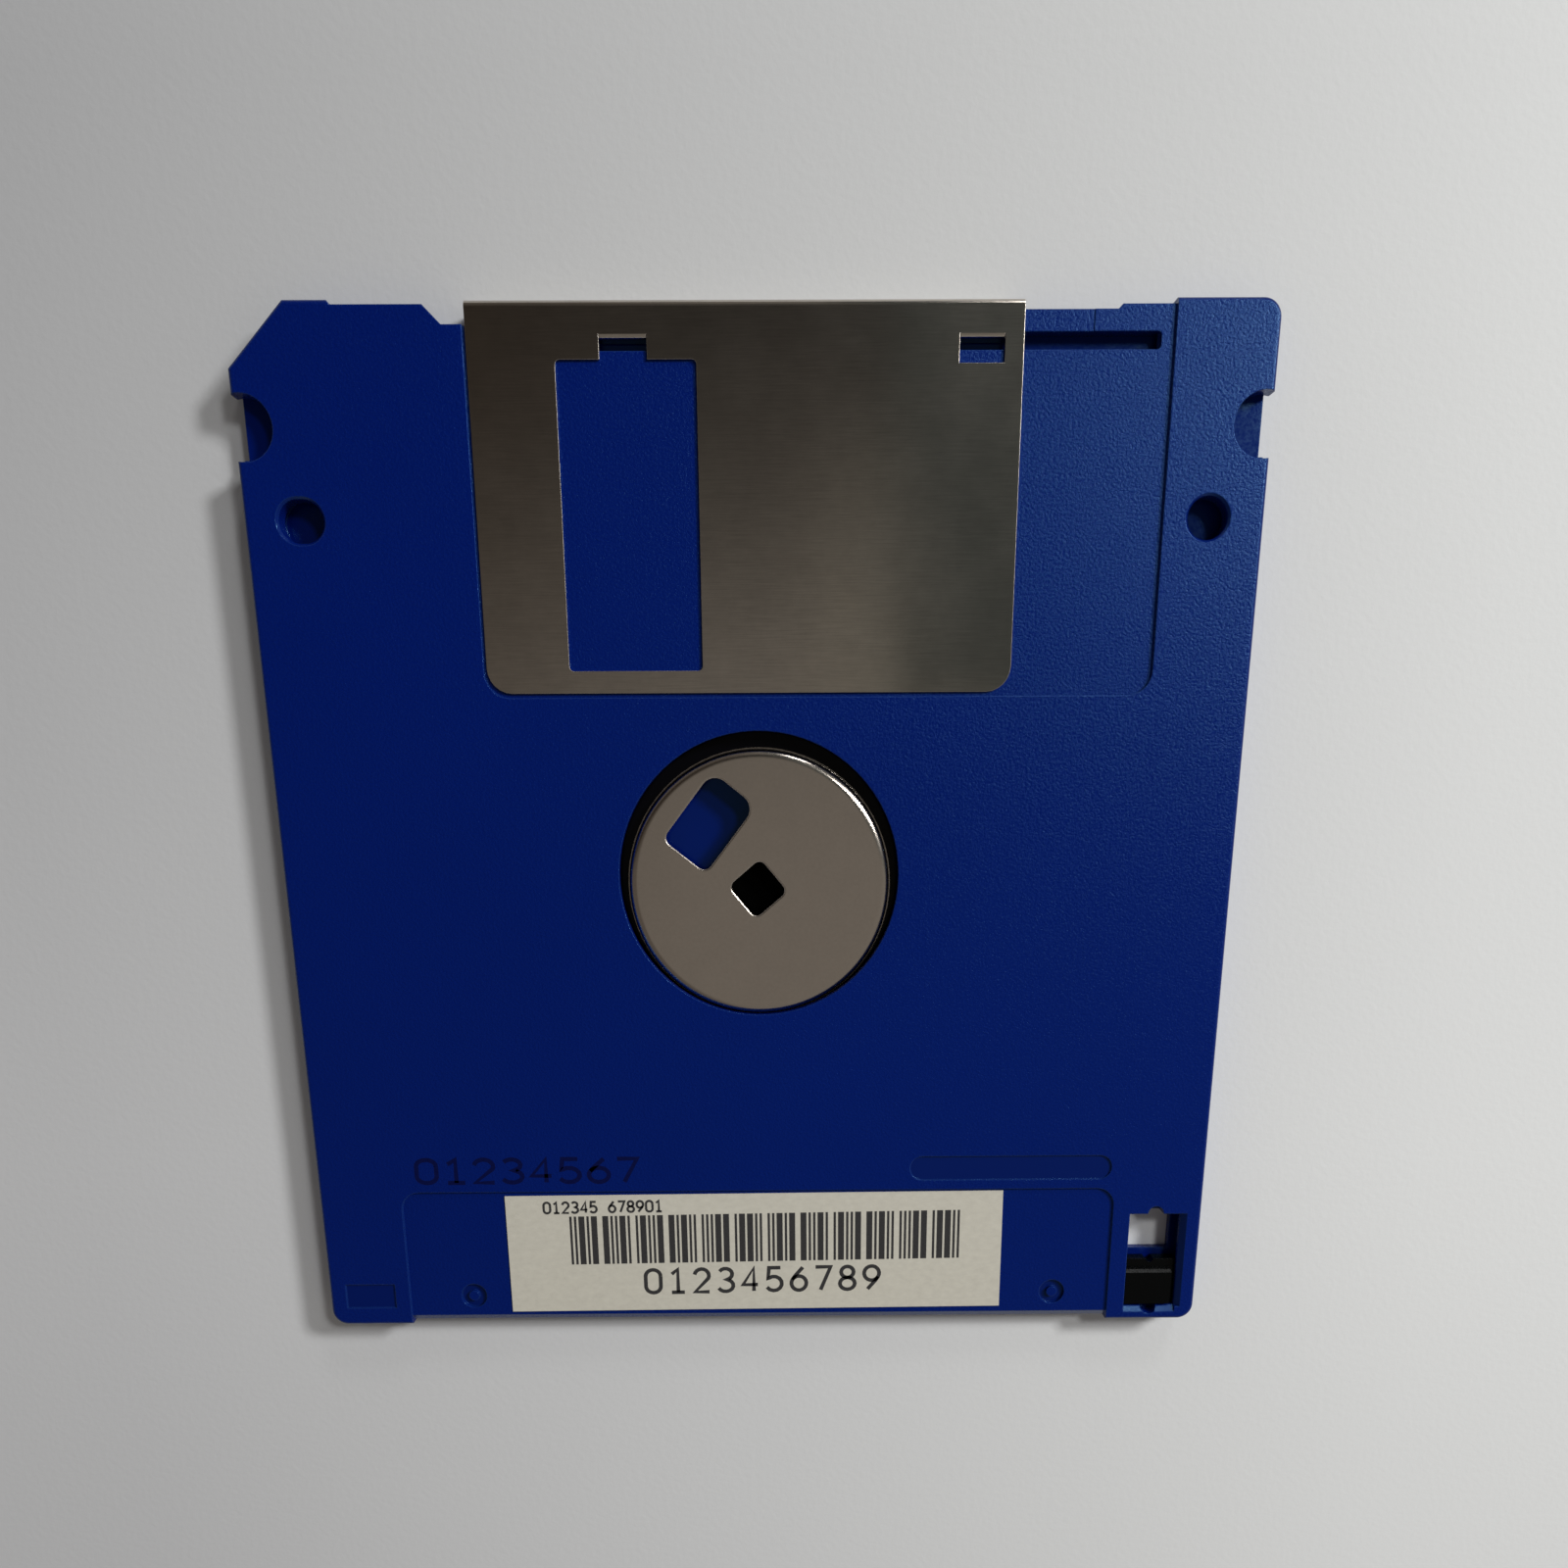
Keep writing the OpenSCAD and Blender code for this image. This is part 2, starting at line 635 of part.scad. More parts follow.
// Pointer that shows which edge goes into the drive
module arrow_plan() {
    x = side_x - right_block_w / 2 - arrow_shift;
    y = front_y - arrow_from_front;
    polygon([[x - arrow_w / 2, y], [x + arrow_w / 2, y], [x, y + arrow_l]]);
}

module label_side_shell() {
    color("#1b2f86") {
        on_label_side() difference() {
            plate();
            cut_through() front_edge_plan();
            cut_face(recess_d) shutter_recess_plan();
            cut_through() head_window_plan();
            inner_pockets();
            spring_channel();
            side_steps();
            locating_wells();
            cut_through() box_plan(window_left + sense_x, window_top - sense_l,
                window_left + sense_x + sense_w, window_top);
            label_recess(label_recess_front);
            lifter_pocket();
            cut_face(mark_d) arrow_plan();
        }
        on_label_side() slot_floor();
        for (post = POSTS) translate([post[0], post[1], half_t - 0.1])
            cylinder(h = pocket_t - 0.1, r = post_r, $fn = 32);
    }
}

// The lifting leaf lies in a shallow pocket of the label side's shell
module lifter_pocket() {
    translate([0, 0, pocket_t - past]) linear_extrude(lifter_pocket_d + past)
        box_plan(lifter_x - lifter_room, lifter_y - lifter_room, lifter_x + lifter_w + lifter_room,
            lifter_y + lifter_l + lifter_room);
}

module liner_lifter() {
    low = face_t - lifter_pocket_d;
    top = face_t - lifter_t - 0.02;
    foot = lifter_l * 0.35;
    color("#d9d4c8") translate([lifter_x + lifter_w, lifter_y, 0]) rotate([90, 0, -90])
        mirror([1, 0, 0]) linear_extrude(lifter_w)
            polygon([[0, low], [foot, low], [lifter_l, top], [lifter_l, top + lifter_t],
                [foot, low + lifter_t], [0, low + lifter_t]]);
}

// The sheet's section along Y: two leaves and the fold over the front edge
module shutter_section() {
    low_z = leaf_inset;
    top_z = case_t - leaf_inset;
    inner_r = fold_r - sheet_t;
    y = front_y;
    polygon(concat(
        [[shutter_low_y, low_z]],
        arc(y - fold_r, low_z + fold_r, fold_r, 270, 360),
        arc(y - fold_r, top_z - fold_r, fold_r, 0, 90),
        [[shutter_low_y, top_z], [shutter_low_y, top_z - sheet_t]],
        arc(y - fold_r, top_z - fold_r, inner_r, 90, 0),
        arc(y - fold_r, low_z + fold_r, inner_r, 360, 270),
        [[shutter_low_y, low_z + sheet_t]]));
}

// A tab's section along Y: bent down from the leaf into the slot
module tab_section() {
    z = case_t - leaf_inset;
    bend = 0.1;
    polygon(concat([[tab_y + sheet_t, z - sheet_t]], [[tab_y + sheet_t, z]],
        arc(tab_y, z - sheet_t - bend, sheet_t + bend, 90, 180, 5),
        [[tab_y - sheet_t - bend, z - sheet_t - tab_depth], [tab_y - bend, z - sheet_t - tab_depth]],
        arc(tab_y, z - sheet_t - bend, bend, 180, 90, 3)));
}

module along_x(x0, w) {
    translate([x0, 0, 0]) rotate([90, 0, 90]) linear_extrude(w) children();
}

module shutter() {
    win_x = shutter_left + shutter_window_inset;
    win_y = shutter_low_y + shutter_window_rise;
    near_x = shutter_left + near_tab_x - near_tab_w / 2;
    far_x = shutter_left + far_tab_x - far_tab_w / 2;
    r = shutter_corner_r;
    c = 0.4;
    color("#8f8d86") {
        difference() {
            intersection() {
                along_x(shutter_left, shutter_w) shutter_section();
                linear_extrude(case_t) box_plan(shutter_left, shutter_low_y, shutter_left + shutter_w,
                    front_y + past, [r, r, 0, 0]);
            }
            translate([0, 0, -past]) linear_extrude(case_t + 2 * past) box_plan(win_x, win_y,
                win_x + shutter_window_w, win_y + shutter_window_h, [c, c, c, c], 3);
            translate([0, 0, half_t]) linear_extrude(case_t) {
                box_plan(near_x, win_y + 1, near_x + near_tab_w, tab_y);
                box_plan(far_x, tab_y - far_tab_cut, far_x + far_tab_w, tab_y);
            }
        }
        along_x(near_x + 0.05, near_tab_w - 0.1) tab_section();
        along_x(far_x + 0.05, far_tab_w - 0.1) tab_section();
    }
}

// A wire of round section swept along a list of places
module wire(path, r, sides = 8) {
    n = len(path);
    function dir(i) = let (d = path[min(i + 1, n - 1)] - path[max(i - 1, 0)]) d / norm(d);
    function ring(i) = let (t = dir(i), side = [t[1], -t[0], 0] / norm([t[1], -t[0], 0]), up = cross(side, t))
        [for (k = [0:sides - 1]) let (a = 360 * k / sides) path[i] + r * cos(a) * side + r * sin(a) * up];
    polyhedron(
        points = [for (i = [0:n - 1]) each ring(i)],
        faces = concat([[for (k = [0:sides - 1]) k]], [[for (k = [sides - 1:-1:0]) (n - 1) * sides + k]],
            [for (i = [0:n - 2], k = [0:sides - 1]) let (j = (k + 1) % sides)
                [i * sides + k, (i + 1) * sides + k, (i + 1) * sides + j, i * sides + j]]));
}

// A torsion spring: one leg bears on the far tab of the shutter, the other on a post's wall
module shutter_spring() {
    r = coil_d / 2;
    turns = 3;
    tab_end = shutter_left + far_tab_x + far_tab_w / 2 + wire_d;
    post_end = POSTS[3][0] - post_r - post_wall - wire_d;
    half_span = (post_end - tab_end) / 2;
    middle = [tab_end + half_span, leg_y - coil_drop];
    lean = atan2(coil_drop, half_span);
    touch = acos(r / norm([half_span, coil_drop]));
    first = 180 - lean + touch;
    sweep = 360 * (turns + 1) - 180 + 2 * lean - 2 * touch;
    tab_z = case_t - face_t - wire_d / 2 - wire_room;
    post_z = face_t + wire_d / 2 + wire_room;
    steps = 60;
    coil = [for (i = [0:steps]) let (a = first + sweep * i / steps)
        [middle[0] + r * cos(a), middle[1] + r * sin(a), tab_z + (post_z - tab_z) * i / steps]];
    color("#9a9a9e") wire(concat([[tab_end, leg_y, tab_z]], coil, [[post_end, leg_y, post_z]]), wire_d / 2);
}

module liner_plan(hole_r) {
    difference() {
        translate([0, hub_hole_y]) circle(d = liner_d, $fn = 120);
        translate([0, hub_hole_y]) circle(r = hole_r);
        box_plan(-head_window_w / 2 - liner_window_room, recess_low_y + head_window_rise - liner_window_room,
            head_window_w / 2 + liner_window_room, front_y, [0.8, 0.8, 0, 0]);
    }
}

module label_side_liner() {
    color("#e6e6e2") translate([0, 0, face_t]) linear_extrude(liner_t) liner_plan(flange_d / 2 + label_liner_gap);
}

module hub_side_liner() {
    color("#e6e6e2") translate([0, 0, case_t - face_t - liner_t]) linear_extrude(liner_t)
        liner_plan(hub_hole_d / 2 + hub_liner_gap);
}

module spindle_wear_pad() {
    color("#101012") translate([0, hub_hole_y, face_t]) cylinder(h = wear_pad_t, d = wear_pad_d, $fn = 48);
}

module magnetic_disk() {
    color("#2a2422") translate([0, hub_y, media_low_z]) difference() {
        cylinder(h = media_t, d = media_d, $fn = 180);
        translate([0, 0, -past]) cylinder(h = media_t + 2 * past, d = boss_d + 2 * media_hole_gap);
    }
}

module hub_adhesive_ring() {
    inner_d = boss_d + 4 * media_hole_gap;
    color("#4a463e") translate([0, hub_y, flange_top_z]) difference() {
        cylinder(h = adhesive_t, d = flange_d - 0.4);
        translate([0, 0, -past]) cylinder(h = adhesive_t + 2 * past, d = inner_d);
    }
}

// The hub is one pressed disc: flange, wall and raised boss
module hub() {
    r = boss_d / 2;
    shoulder = boss_shoulder;
    low = flange_top_z - hub_t;
    inner_r = max(0.05, shoulder - hub_t);
    foot = 0.15;
    burr = 0.05;
    square_w = spindle_square / 2;
    c = spindle_corner_r;
    slot_x = drive_slot_l / 2;
    slot_y = drive_slot_w / 2;
    color("#a39b8d") translate([0, hub_y, 0]) difference() {
        rotate_extrude($fn = 144) polygon(concat(
            [[0, hub_face_z], [0, hub_face_z - hub_t]],
            arc(r - hub_t - inner_r, hub_face_z - hub_t - inner_r, inner_r, 90, 0, 3),
            [[r - hub_t, low + foot], [r - hub_t + foot, low], [flange_d / 2 - burr, low],
                [flange_d / 2, low + burr], [flange_d / 2, flange_top_z], [r, flange_top_z]],
            arc(r - shoulder, hub_face_z - shoulder, shoulder, 0, 90, 5)));
        rotate([0, 0, spindle_offset_dir]) translate([spindle_offset, 0, low])
            rotate([0, 0, spindle_turn - spindle_offset_dir])
                linear_extrude(hub_rise + case_t) box_plan(-square_w, -square_w, square_w, square_w, [c, c, c, c]);
        rotate([0, 0, drive_slot_dir]) translate([drive_slot_at, 0, low]) rotate([0, 0, drive_slot_skew - 90])
            linear_extrude(hub_rise + case_t) box_plan(-slot_x, -slot_y, slot_x, slot_y,
                [drive_slot_r * 0.6, drive_slot_r, drive_slot_r, drive_slot_r * 0.6]);
    }
}

// A low base held under the shell, a pad for the fingernail and a nicked ledge
module write_protect_slider() {
    base_z = face_t + base_play;
    base_t = 2 * (pocket_t - base_play);
    pad_top = case_t - pad_sink;
    middle = (window_left + window_right) / 2;
    pad_left = window_left + pad_x;
    pad_end = slider_low + pad_l;
    color("#0c0c0d") difference() {
        union() {
            translate([0, 0, base_z]) linear_extrude(base_t) box_plan(window_left - base_lap, base_low,
                window_right + base_lap / 2, base_low + base_l, [0.2, 0.2, 0.2, 0.2], 3);
            translate([0, 0, base_z]) linear_extrude(pad_top - base_z)
                box_plan(pad_left, slider_low, pad_left + pad_w, pad_end, [0.15, 0.15, 0.15, 0.15], 3);
        }
        translate([middle, base_low + base_l, base_z - past]) cylinder(h = case_t, r = nick_r / 2, $fn = 24);
        translate([pad_left - past, pad_end, pad_top]) rotate([90, 0, 90]) linear_extrude(pad_w + 2 * past)
            polygon([[-pad_bevel, past], [-pad_bevel, 0], [0, -pad_bevel], [past, -pad_bevel], [past, past]]);
    }
}

module serial_label() {
    z = case_t - label_recess_d;
    top = -front_y + label_recess_hub - label_gap;
    color("#e4dfd2") translate([label_x, top - label_h / 2, z]) rotate([0, 0, label_turn])
        linear_extrude(label_t) square([label_w, label_h], center = true);
}

label_side_shell();
hub_side_shell();
shutter();
shutter_spring();
magnetic_disk();
hub();
hub_adhesive_ring();
hub_side_liner();
label_side_liner();
liner_lifter();
spindle_wear_pad();
write_protect_slider();
serial_label();
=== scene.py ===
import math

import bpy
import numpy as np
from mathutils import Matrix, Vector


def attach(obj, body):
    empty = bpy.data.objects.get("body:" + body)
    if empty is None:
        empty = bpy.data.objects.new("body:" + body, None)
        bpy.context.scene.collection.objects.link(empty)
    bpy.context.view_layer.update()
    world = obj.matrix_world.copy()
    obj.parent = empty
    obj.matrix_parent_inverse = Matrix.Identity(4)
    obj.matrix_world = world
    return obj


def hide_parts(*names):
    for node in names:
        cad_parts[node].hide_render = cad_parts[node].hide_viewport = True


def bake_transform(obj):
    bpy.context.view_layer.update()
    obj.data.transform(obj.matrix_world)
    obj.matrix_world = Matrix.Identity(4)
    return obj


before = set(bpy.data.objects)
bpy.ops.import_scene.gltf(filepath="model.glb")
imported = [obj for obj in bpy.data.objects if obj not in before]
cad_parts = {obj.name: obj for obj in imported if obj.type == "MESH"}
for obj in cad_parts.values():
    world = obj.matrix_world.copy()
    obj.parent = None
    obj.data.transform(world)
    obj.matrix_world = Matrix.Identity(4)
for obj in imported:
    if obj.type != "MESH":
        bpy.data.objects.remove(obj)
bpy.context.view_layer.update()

# %% [markdown]
# # A 3.5 inch floppy disk, seen from its hub side
#
# The disk lies on its label side. Its solid pieces come from the CAD model, in metres, and this
# script gives them their finish: moulded plastic, rolled steel, coated film, paper and print.

MM = 0.001

# %% [markdown]
# ## Camera
#
# The photo was taken from above the shutter's half with a short lens, so the shutter edge looks
# wider than the label edge. A camera can be placed by eye, with many small trials. Here the four
# corners and the hub hole were fitted to the photo instead, which gives the place, the turn and
# the lens at once. A small upward shift keeps the case's height in step with its width.

# %% Camera from the perspective fit
LENS_PX = 1200
PICTURE_PX = 1600
SENSOR_MM = 36
MIDDLE_ROW_PX = 1130
camera_at = Vector((1.64, 6.18, 113.44 + 3.3)) * MM
right_way = Vector((0.99996, -0.00504, 0.0068))
down_way = Vector((-0.00661, -0.96687, 0.25518))
look_way = Vector((0.00529, -0.25522, -0.96687))

camera_data = bpy.data.cameras.new("camera")
camera_data.sensor_width = SENSOR_MM
camera_data.lens = LENS_PX / PICTURE_PX * SENSOR_MM
camera_data.shift_y = (MIDDLE_ROW_PX - PICTURE_PX / 2) / PICTURE_PX
camera_data.clip_start = 0.002
camera_data.clip_end = 10
camera = bpy.data.objects.new("camera", camera_data)
bpy.context.scene.collection.objects.link(camera)
turn = Matrix((right_way, -down_way, -look_way)).transposed()
camera.matrix_world = Matrix.Translation(camera_at) @ turn.to_4x4()
bpy.context.scene.camera = camera
bpy.context.scene.view_settings.view_transform = "Standard"
print("lens", round(camera_data.lens, 2), "mm, shift", round(camera_data.shift_y, 3))

# %% [markdown]
# ## Tools for finishes
#
# Every finish is a small network of shader nodes. It could be painted as a picture. A pattern that
# is worked out in millimetres on the piece itself has the right scale by itself and stays sharp in
# every view, so all finishes here are made that way. Two steps come first: a material with its main
# shader, and the places on the piece in millimetres.

# %% A material, and places on a piece


def new_material(name, base, roughness, metallic=0.0):
    """A material with one main shader, given by its colour, roughness and metal share."""
    mat = bpy.data.materials.new(name)
    mat.use_nodes = True
    shader = mat.node_tree.nodes["Principled BSDF"]
    shader.inputs["Base Color"].default_value = (*base, 1)
    shader.inputs["Roughness"].default_value = roughness
    shader.inputs["Metallic"].default_value = metallic
    mat.diffuse_color = (*base, 1)
    print("material:", name)
    return mat, mat.node_tree, shader


def millimetres(tree, stretch=(1, 1, 1)):
    """Places on the piece in millimetres, stretched for grain that has a direction."""
    where = tree.nodes.new("ShaderNodeTexCoord")
    scaled = tree.nodes.new("ShaderNodeMapping")
    scaled.inputs["Scale"].default_value = [s / MM for s in stretch]
    tree.links.new(where.outputs["Object"], scaled.inputs["Vector"])
    return scaled.outputs["Vector"]


def feed(tree, value, socket):
    """Gives a socket a number, a colour, or a link from another node."""
    if isinstance(value, bpy.types.NodeSocket):
        tree.links.new(value, socket)
    elif isinstance(value, tuple):
        socket.default_value = (*value, 1)
    else:
        socket.default_value = value


print("pieces from the CAD model:", len(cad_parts))

# %% [markdown]
# ## Patterns
#
# A noise node gives soft random values. A range turns them into roughness or into a share, and the
# share blends two close colours. These three steps, with other numbers, make grain, fibres, rubs
# and clouds alike, which is why they are written once, as helpers.

# %% Noise, ranges and blends
# Most of a noise lies between these two values
NOISE_LOW, NOISE_HIGH = 0.3, 0.7


def noise(tree, where, per_mm, detail=3.0, roughness=0.5):
    """Soft random values with about so many lumps to a millimetre."""
    node = tree.nodes.new("ShaderNodeTexNoise")
    node.inputs["Scale"].default_value = per_mm
    node.inputs["Detail"].default_value = detail
    node.inputs["Roughness"].default_value = roughness
    tree.links.new(where, node.inputs["Vector"])
    return node.outputs["Fac"]


def remap(tree, value, low, high, to_low, to_high):
    """Turns one range of values into another, and stops at its ends."""
    node = tree.nodes.new("ShaderNodeMapRange")
    ends = {"From Min": low, "From Max": high, "To Min": to_low, "To Max": to_high}
    for name, number in ends.items():
        node.inputs[name].default_value = number
    tree.links.new(value, node.inputs["Value"])
    return node.outputs["Result"]


def blend_colours(tree, share, first, second):
    """A colour between two: the first where the share is 0, the second where it is 1."""
    node = tree.nodes.new("ShaderNodeMix")
    node.data_type = "RGBA"
    feed(tree, share, node.inputs[0])
    feed(tree, first, node.inputs[6])
    feed(tree, second, node.inputs[7])
    return node.outputs[2]


def shades(base, spread):
    """A darker and a lighter shade of one colour."""
    return [tuple(min(1, c * k) for c in base) for k in (1 - spread, 1 + spread)]


print("shades of a mid grey:", shades((0.5, 0.5, 0.5), 0.1))

# %% [markdown]
# ## Relief
#
# The grain of plastic and the fibres of paper are a few hundredths of a millimetre high. Real
# geometry that fine would need millions of faces, so a bump node tilts the light's bounce instead.
# Its height is given in millimetres, as it would be measured on the piece.

# %% Bumps


def raise_surface(tree, shader, height, distance, facing=None):
    """Bumps up to a distance in mm, over soft edges if the facing of those is given."""
    node = tree.nodes.new("ShaderNodeBump")
    node.inputs["Distance"].default_value = distance * MM
    node.inputs["Strength"].default_value = 1
    tree.links.new(height, node.inputs["Height"])
    if facing:
        tree.links.new(facing, node.inputs["Normal"])
    tree.links.new(node.outputs["Normal"], shader.inputs["Normal"])


print("a bump of 0.02 mm, in metres:", 0.02 * MM)

# %% [markdown]
# ## Floor
#
# A pale sheet lies under the disk, with painted shade that makes it darker towards its left and
# towards its far side. The lamps could make that change of tone, but then they would also change the
# disk. So the shade is painted into the sheet's own colour instead: four corner colours, blended
# across and along.

# %% Colours of the pale sheet
# Painted shade: the left and far corners are darker, in place of the light's fall-off over the sheet
NEAR_LEFT, NEAR_RIGHT = (0.655, 0.66, 0.67), (0.835, 0.845, 0.84)
FAR_LEFT, FAR_RIGHT = (0.475, 0.48, 0.49), (0.735, 0.745, 0.74)


def pale_sheet():
    """Paper-like sheet with painted shade: its tone darkens towards its left and its far side."""
    mat, tree, shader = new_material("pale_sheet", (0.7, 0.7, 0.7), 0.8)
    where = tree.nodes.new("ShaderNodeTexCoord")
    parts = tree.nodes.new("ShaderNodeSeparateXYZ")
    tree.links.new(where.outputs["Object"], parts.inputs[0])
    across = remap(tree, parts.outputs["X"], -0.07, 0.07, 0, 1)
    along = remap(tree, parts.outputs["Y"], -0.03, 0.065, 0, 1)
    near = blend_colours(tree, across, NEAR_LEFT, NEAR_RIGHT)
    far = blend_colours(tree, across, FAR_LEFT, FAR_RIGHT)
    tree.links.new(blend_colours(tree, along, near, far), shader.inputs["Base Color"])
    raise_surface(tree, shader, noise(tree, millimetres(tree), 1.5, 3.0), 0.02)
    shader.inputs["Specular IOR Level"].default_value = 0.1
    return mat


sheet_material = pale_sheet()

# %% [markdown]
# ## The sheet itself
#
# The sheet is flat, so a grid of a few cells is enough. It lies a hair below the disk, because two
# faces at the same height flicker in a render. The floor isn't a part of the disk.

# %% A flat grid
FLOOR_HALF = 0.4
FLOOR_CELLS = 12
BELOW_DISK = 0.00002


def grid_mesh(name, half, cells, height):
    """A square grid of faces around the middle of the disk, in metres."""
    steps = np.linspace(-half, half, cells + 1)
    row = cells + 1
    points = [(x, y, height) for y in steps for x in steps]
    faces = [
        (r * row + c, r * row + c + 1, (r + 1) * row + c + 1, (r + 1) * row + c)
        for r in range(cells) for c in range(cells)
    ]
    mesh = bpy.data.meshes.new(name)
    mesh.from_pydata(points, [], faces)
    return mesh


floor = bpy.data.objects.new("floor", grid_mesh("floor", FLOOR_HALF, FLOOR_CELLS, -BELOW_DISK))
floor.data.materials.append(sheet_material)
bpy.context.scene.collection.objects.link(floor)
print("floor cells:", len(floor.data.polygons))

# %% [markdown]
# ## Lamps
#
# Two soft lamps stand at the right, one above the other, and throw the two steps of the shadow at
# the left. A third one, far behind the shutter edge, gives the polished bevels their glints. A very
# small lamp would throw hard shadows. An area lamp is softer the larger it is, so its size was set
# until the shadow's edge was right.

# %% Three area lamps


def soft_light(name, aside, off_vertical, away, size, power):
    """A lamp aimed at the disk: direction in plan from +X, tilt from vertical, distance in metres."""
    data = bpy.data.lights.new(name, "AREA")
    data.shape = "RECTANGLE"
    data.size, data.size_y = size
    data.energy = power
    lamp = bpy.data.objects.new(name, data)
    bpy.context.scene.collection.objects.link(lamp)
    a, b = math.radians(aside), math.radians(off_vertical)
    lamp.location = Vector((math.sin(b) * math.cos(a), math.sin(b) * math.sin(a), math.cos(b))) * away
    lamp.rotation_euler = (-lamp.location).to_track_quat("-Z", "Y").to_euler()
    print("lamp:", name, power, "W")


soft_light("low key", aside=31, off_vertical=57, away=0.75, size=(0.16, 0.10), power=3.75)
soft_light("high key", aside=40, off_vertical=39, away=0.75, size=(0.14, 0.10), power=1.3)
soft_light("glint", aside=72, off_vertical=66, away=0.75, size=(0.12, 0.12), power=0.5)

# %% [markdown]
# ## Room
#
# The lamps alone would leave the shadows black, and the steel would have nothing to show. Steel
# mirrors what is above it, so the tones seen in the hub and the shutter tell how the room was. A
# picture of a room could go here, but a few blends over the direction are enough and need no file.
# A direction is written as its rise along X or Y for each metre of height.

# %% Directions in the room
world = bpy.data.worlds.new("room")
bpy.context.scene.world = world
world.use_nodes = True
tree = world.node_tree
look = tree.nodes.new("ShaderNodeTexCoord")
parts = tree.nodes.new("ShaderNodeSeparateXYZ")
tree.links.new(look.outputs["Generated"], parts.inputs[0])


def room_math(kind, first, second):
    """One step of arithmetic in the room's own node tree."""
    node = tree.nodes.new("ShaderNodeMath")
    node.operation = kind
    feed(tree, first, node.inputs[0])
    feed(tree, second, node.inputs[1])
    return node.outputs[0]


height = room_math("MAXIMUM", parts.outputs["Z"], 0.1)
lean = room_math("DIVIDE", parts.outputs["Y"], height)
aside = room_math("DIVIDE", parts.outputs["X"], height)
print("room directions:", len(tree.nodes), "nodes")

# %% [markdown]
# ## Tones along the room
#
# The hub shows a light part of the room and the front of the shutter a dark one. A ramp over the
# lean along Y sets these tones. Its soft curve keeps the steel free of steps.

# %% Ramp from the hub's side to beyond the front edge
ROOM_TONES = [
    (-0.6, 0.22), (-0.05, 0.24), (0.10, 0.16), (0.24, 0.055), (0.42, 0.018), (0.62, 0.03), (1.0, 0.2),
]
WARMTH = (1, 0.93, 0.85)

ramp = tree.nodes.new("ShaderNodeValToRGB")
ramp.color_ramp.interpolation = "B_SPLINE"
low_lean, high_lean = ROOM_TONES[0][0], ROOM_TONES[-1][0]
while len(ramp.color_ramp.elements) < len(ROOM_TONES):
    ramp.color_ramp.elements.new(0.5)
for element, (at, tone) in zip(ramp.color_ramp.elements, ROOM_TONES):
    element.position = (at - low_lean) / (high_lean - low_lean)
    element.color = (*(tone * share for share in WARMTH), 1)
tree.links.new(remap(tree, lean, low_lean, high_lean, 0, 1), ramp.inputs[0])
print("tones along the room:", len(ramp.color_ramp.elements))

# %% [markdown]
# ## Tones across the shutter
#
# In the shutter the room is brown at the left, then pale in a narrow band, and grey at the right.
# Each tone is laid over the ones before it by a share that depends on the direction across. The
# band and the grey are kept to the shutter's half, so that the hub stays as it is.

# %% Brown, pale band and grey
BROWN = (0.03, 0.018, 0.010)
PALE_BAND = (0.235, 0.222, 0.192)
GREY = (0.055, 0.062, 0.060)

brown = blend_colours(tree, remap(tree, aside, -0.08, -0.28, 0, 0.5), ramp.outputs[0], BROWN)
over_shutter = remap(tree, lean, 0.02, 0.08, 0, 1)
grey_share = room_math("MULTIPLY", remap(tree, aside, 0.085, 0.10, 0, 1), over_shutter)
band_across = remap(tree, aside, 0.01, 0.075, 0, 0.9)
band_along = remap(tree, lean, 0.30, 0.12, 0, 1)
band_share = room_math("MULTIPLY", room_math("MULTIPLY", band_across, band_along), over_shutter)
band = blend_colours(tree, band_share, brown, PALE_BAND)
grey = blend_colours(tree, grey_share, band, GREY)
print("tones laid over the ramp:", [BROWN, PALE_BAND, GREY])

# %% [markdown]
# ## Pale walls
#
# Near the floor's level the room is pale, so the case's sides and the shadows get soft light from
# all around, and low views have a calm background. It is one more blend, by the direction's height.

# %% Walls
WALLS = (0.55, 0.55, 0.56)
wall_share = remap(tree, parts.outputs["Z"], 0.35, 0.1, 0, 1)
room = blend_colours(tree, wall_share, grey, WALLS)
tree.links.new(room, tree.nodes["Background"].inputs["Color"])
print("room:", len(tree.nodes), "nodes,", len(bpy.data.lights), "lamps")

# %% [markdown]
# ## Softened edges
#
# No moulded or pressed edge is perfectly sharp: each has a tiny rounding that catches the light. A
# bevel modifier could cut it, but it leaves dark streaks on these large flat faces with holes. The
# bevel node rounds only the shading, over a radius in millimetres. Set against the face's true
# direction, it also tells where an edge is, so that rims can be smoother than the faces.

# %% Rounded shading and rims
# How well the rounded facing agrees with the true one, where a rim starts and where it is full
RIM_STARTS, RIM_FULL = 0.995, 0.88


def soft_edges(tree, radius, samples=4):
    """The facing over edges rounded by a radius in mm, and a share: 1 on those edges, 0 on faces."""
    soft = tree.nodes.new("ShaderNodeBevel")
    soft.samples = samples
    soft.inputs["Radius"].default_value = radius * MM
    face = tree.nodes.new("ShaderNodeNewGeometry")
    match = tree.nodes.new("ShaderNodeVectorMath")
    match.operation = "DOT_PRODUCT"
    tree.links.new(soft.outputs["Normal"], match.inputs[0])
    tree.links.new(face.outputs["True Normal"], match.inputs[1])
    return soft.outputs["Normal"], remap(tree, match.outputs["Value"], RIM_STARTS, RIM_FULL, 0, 1)


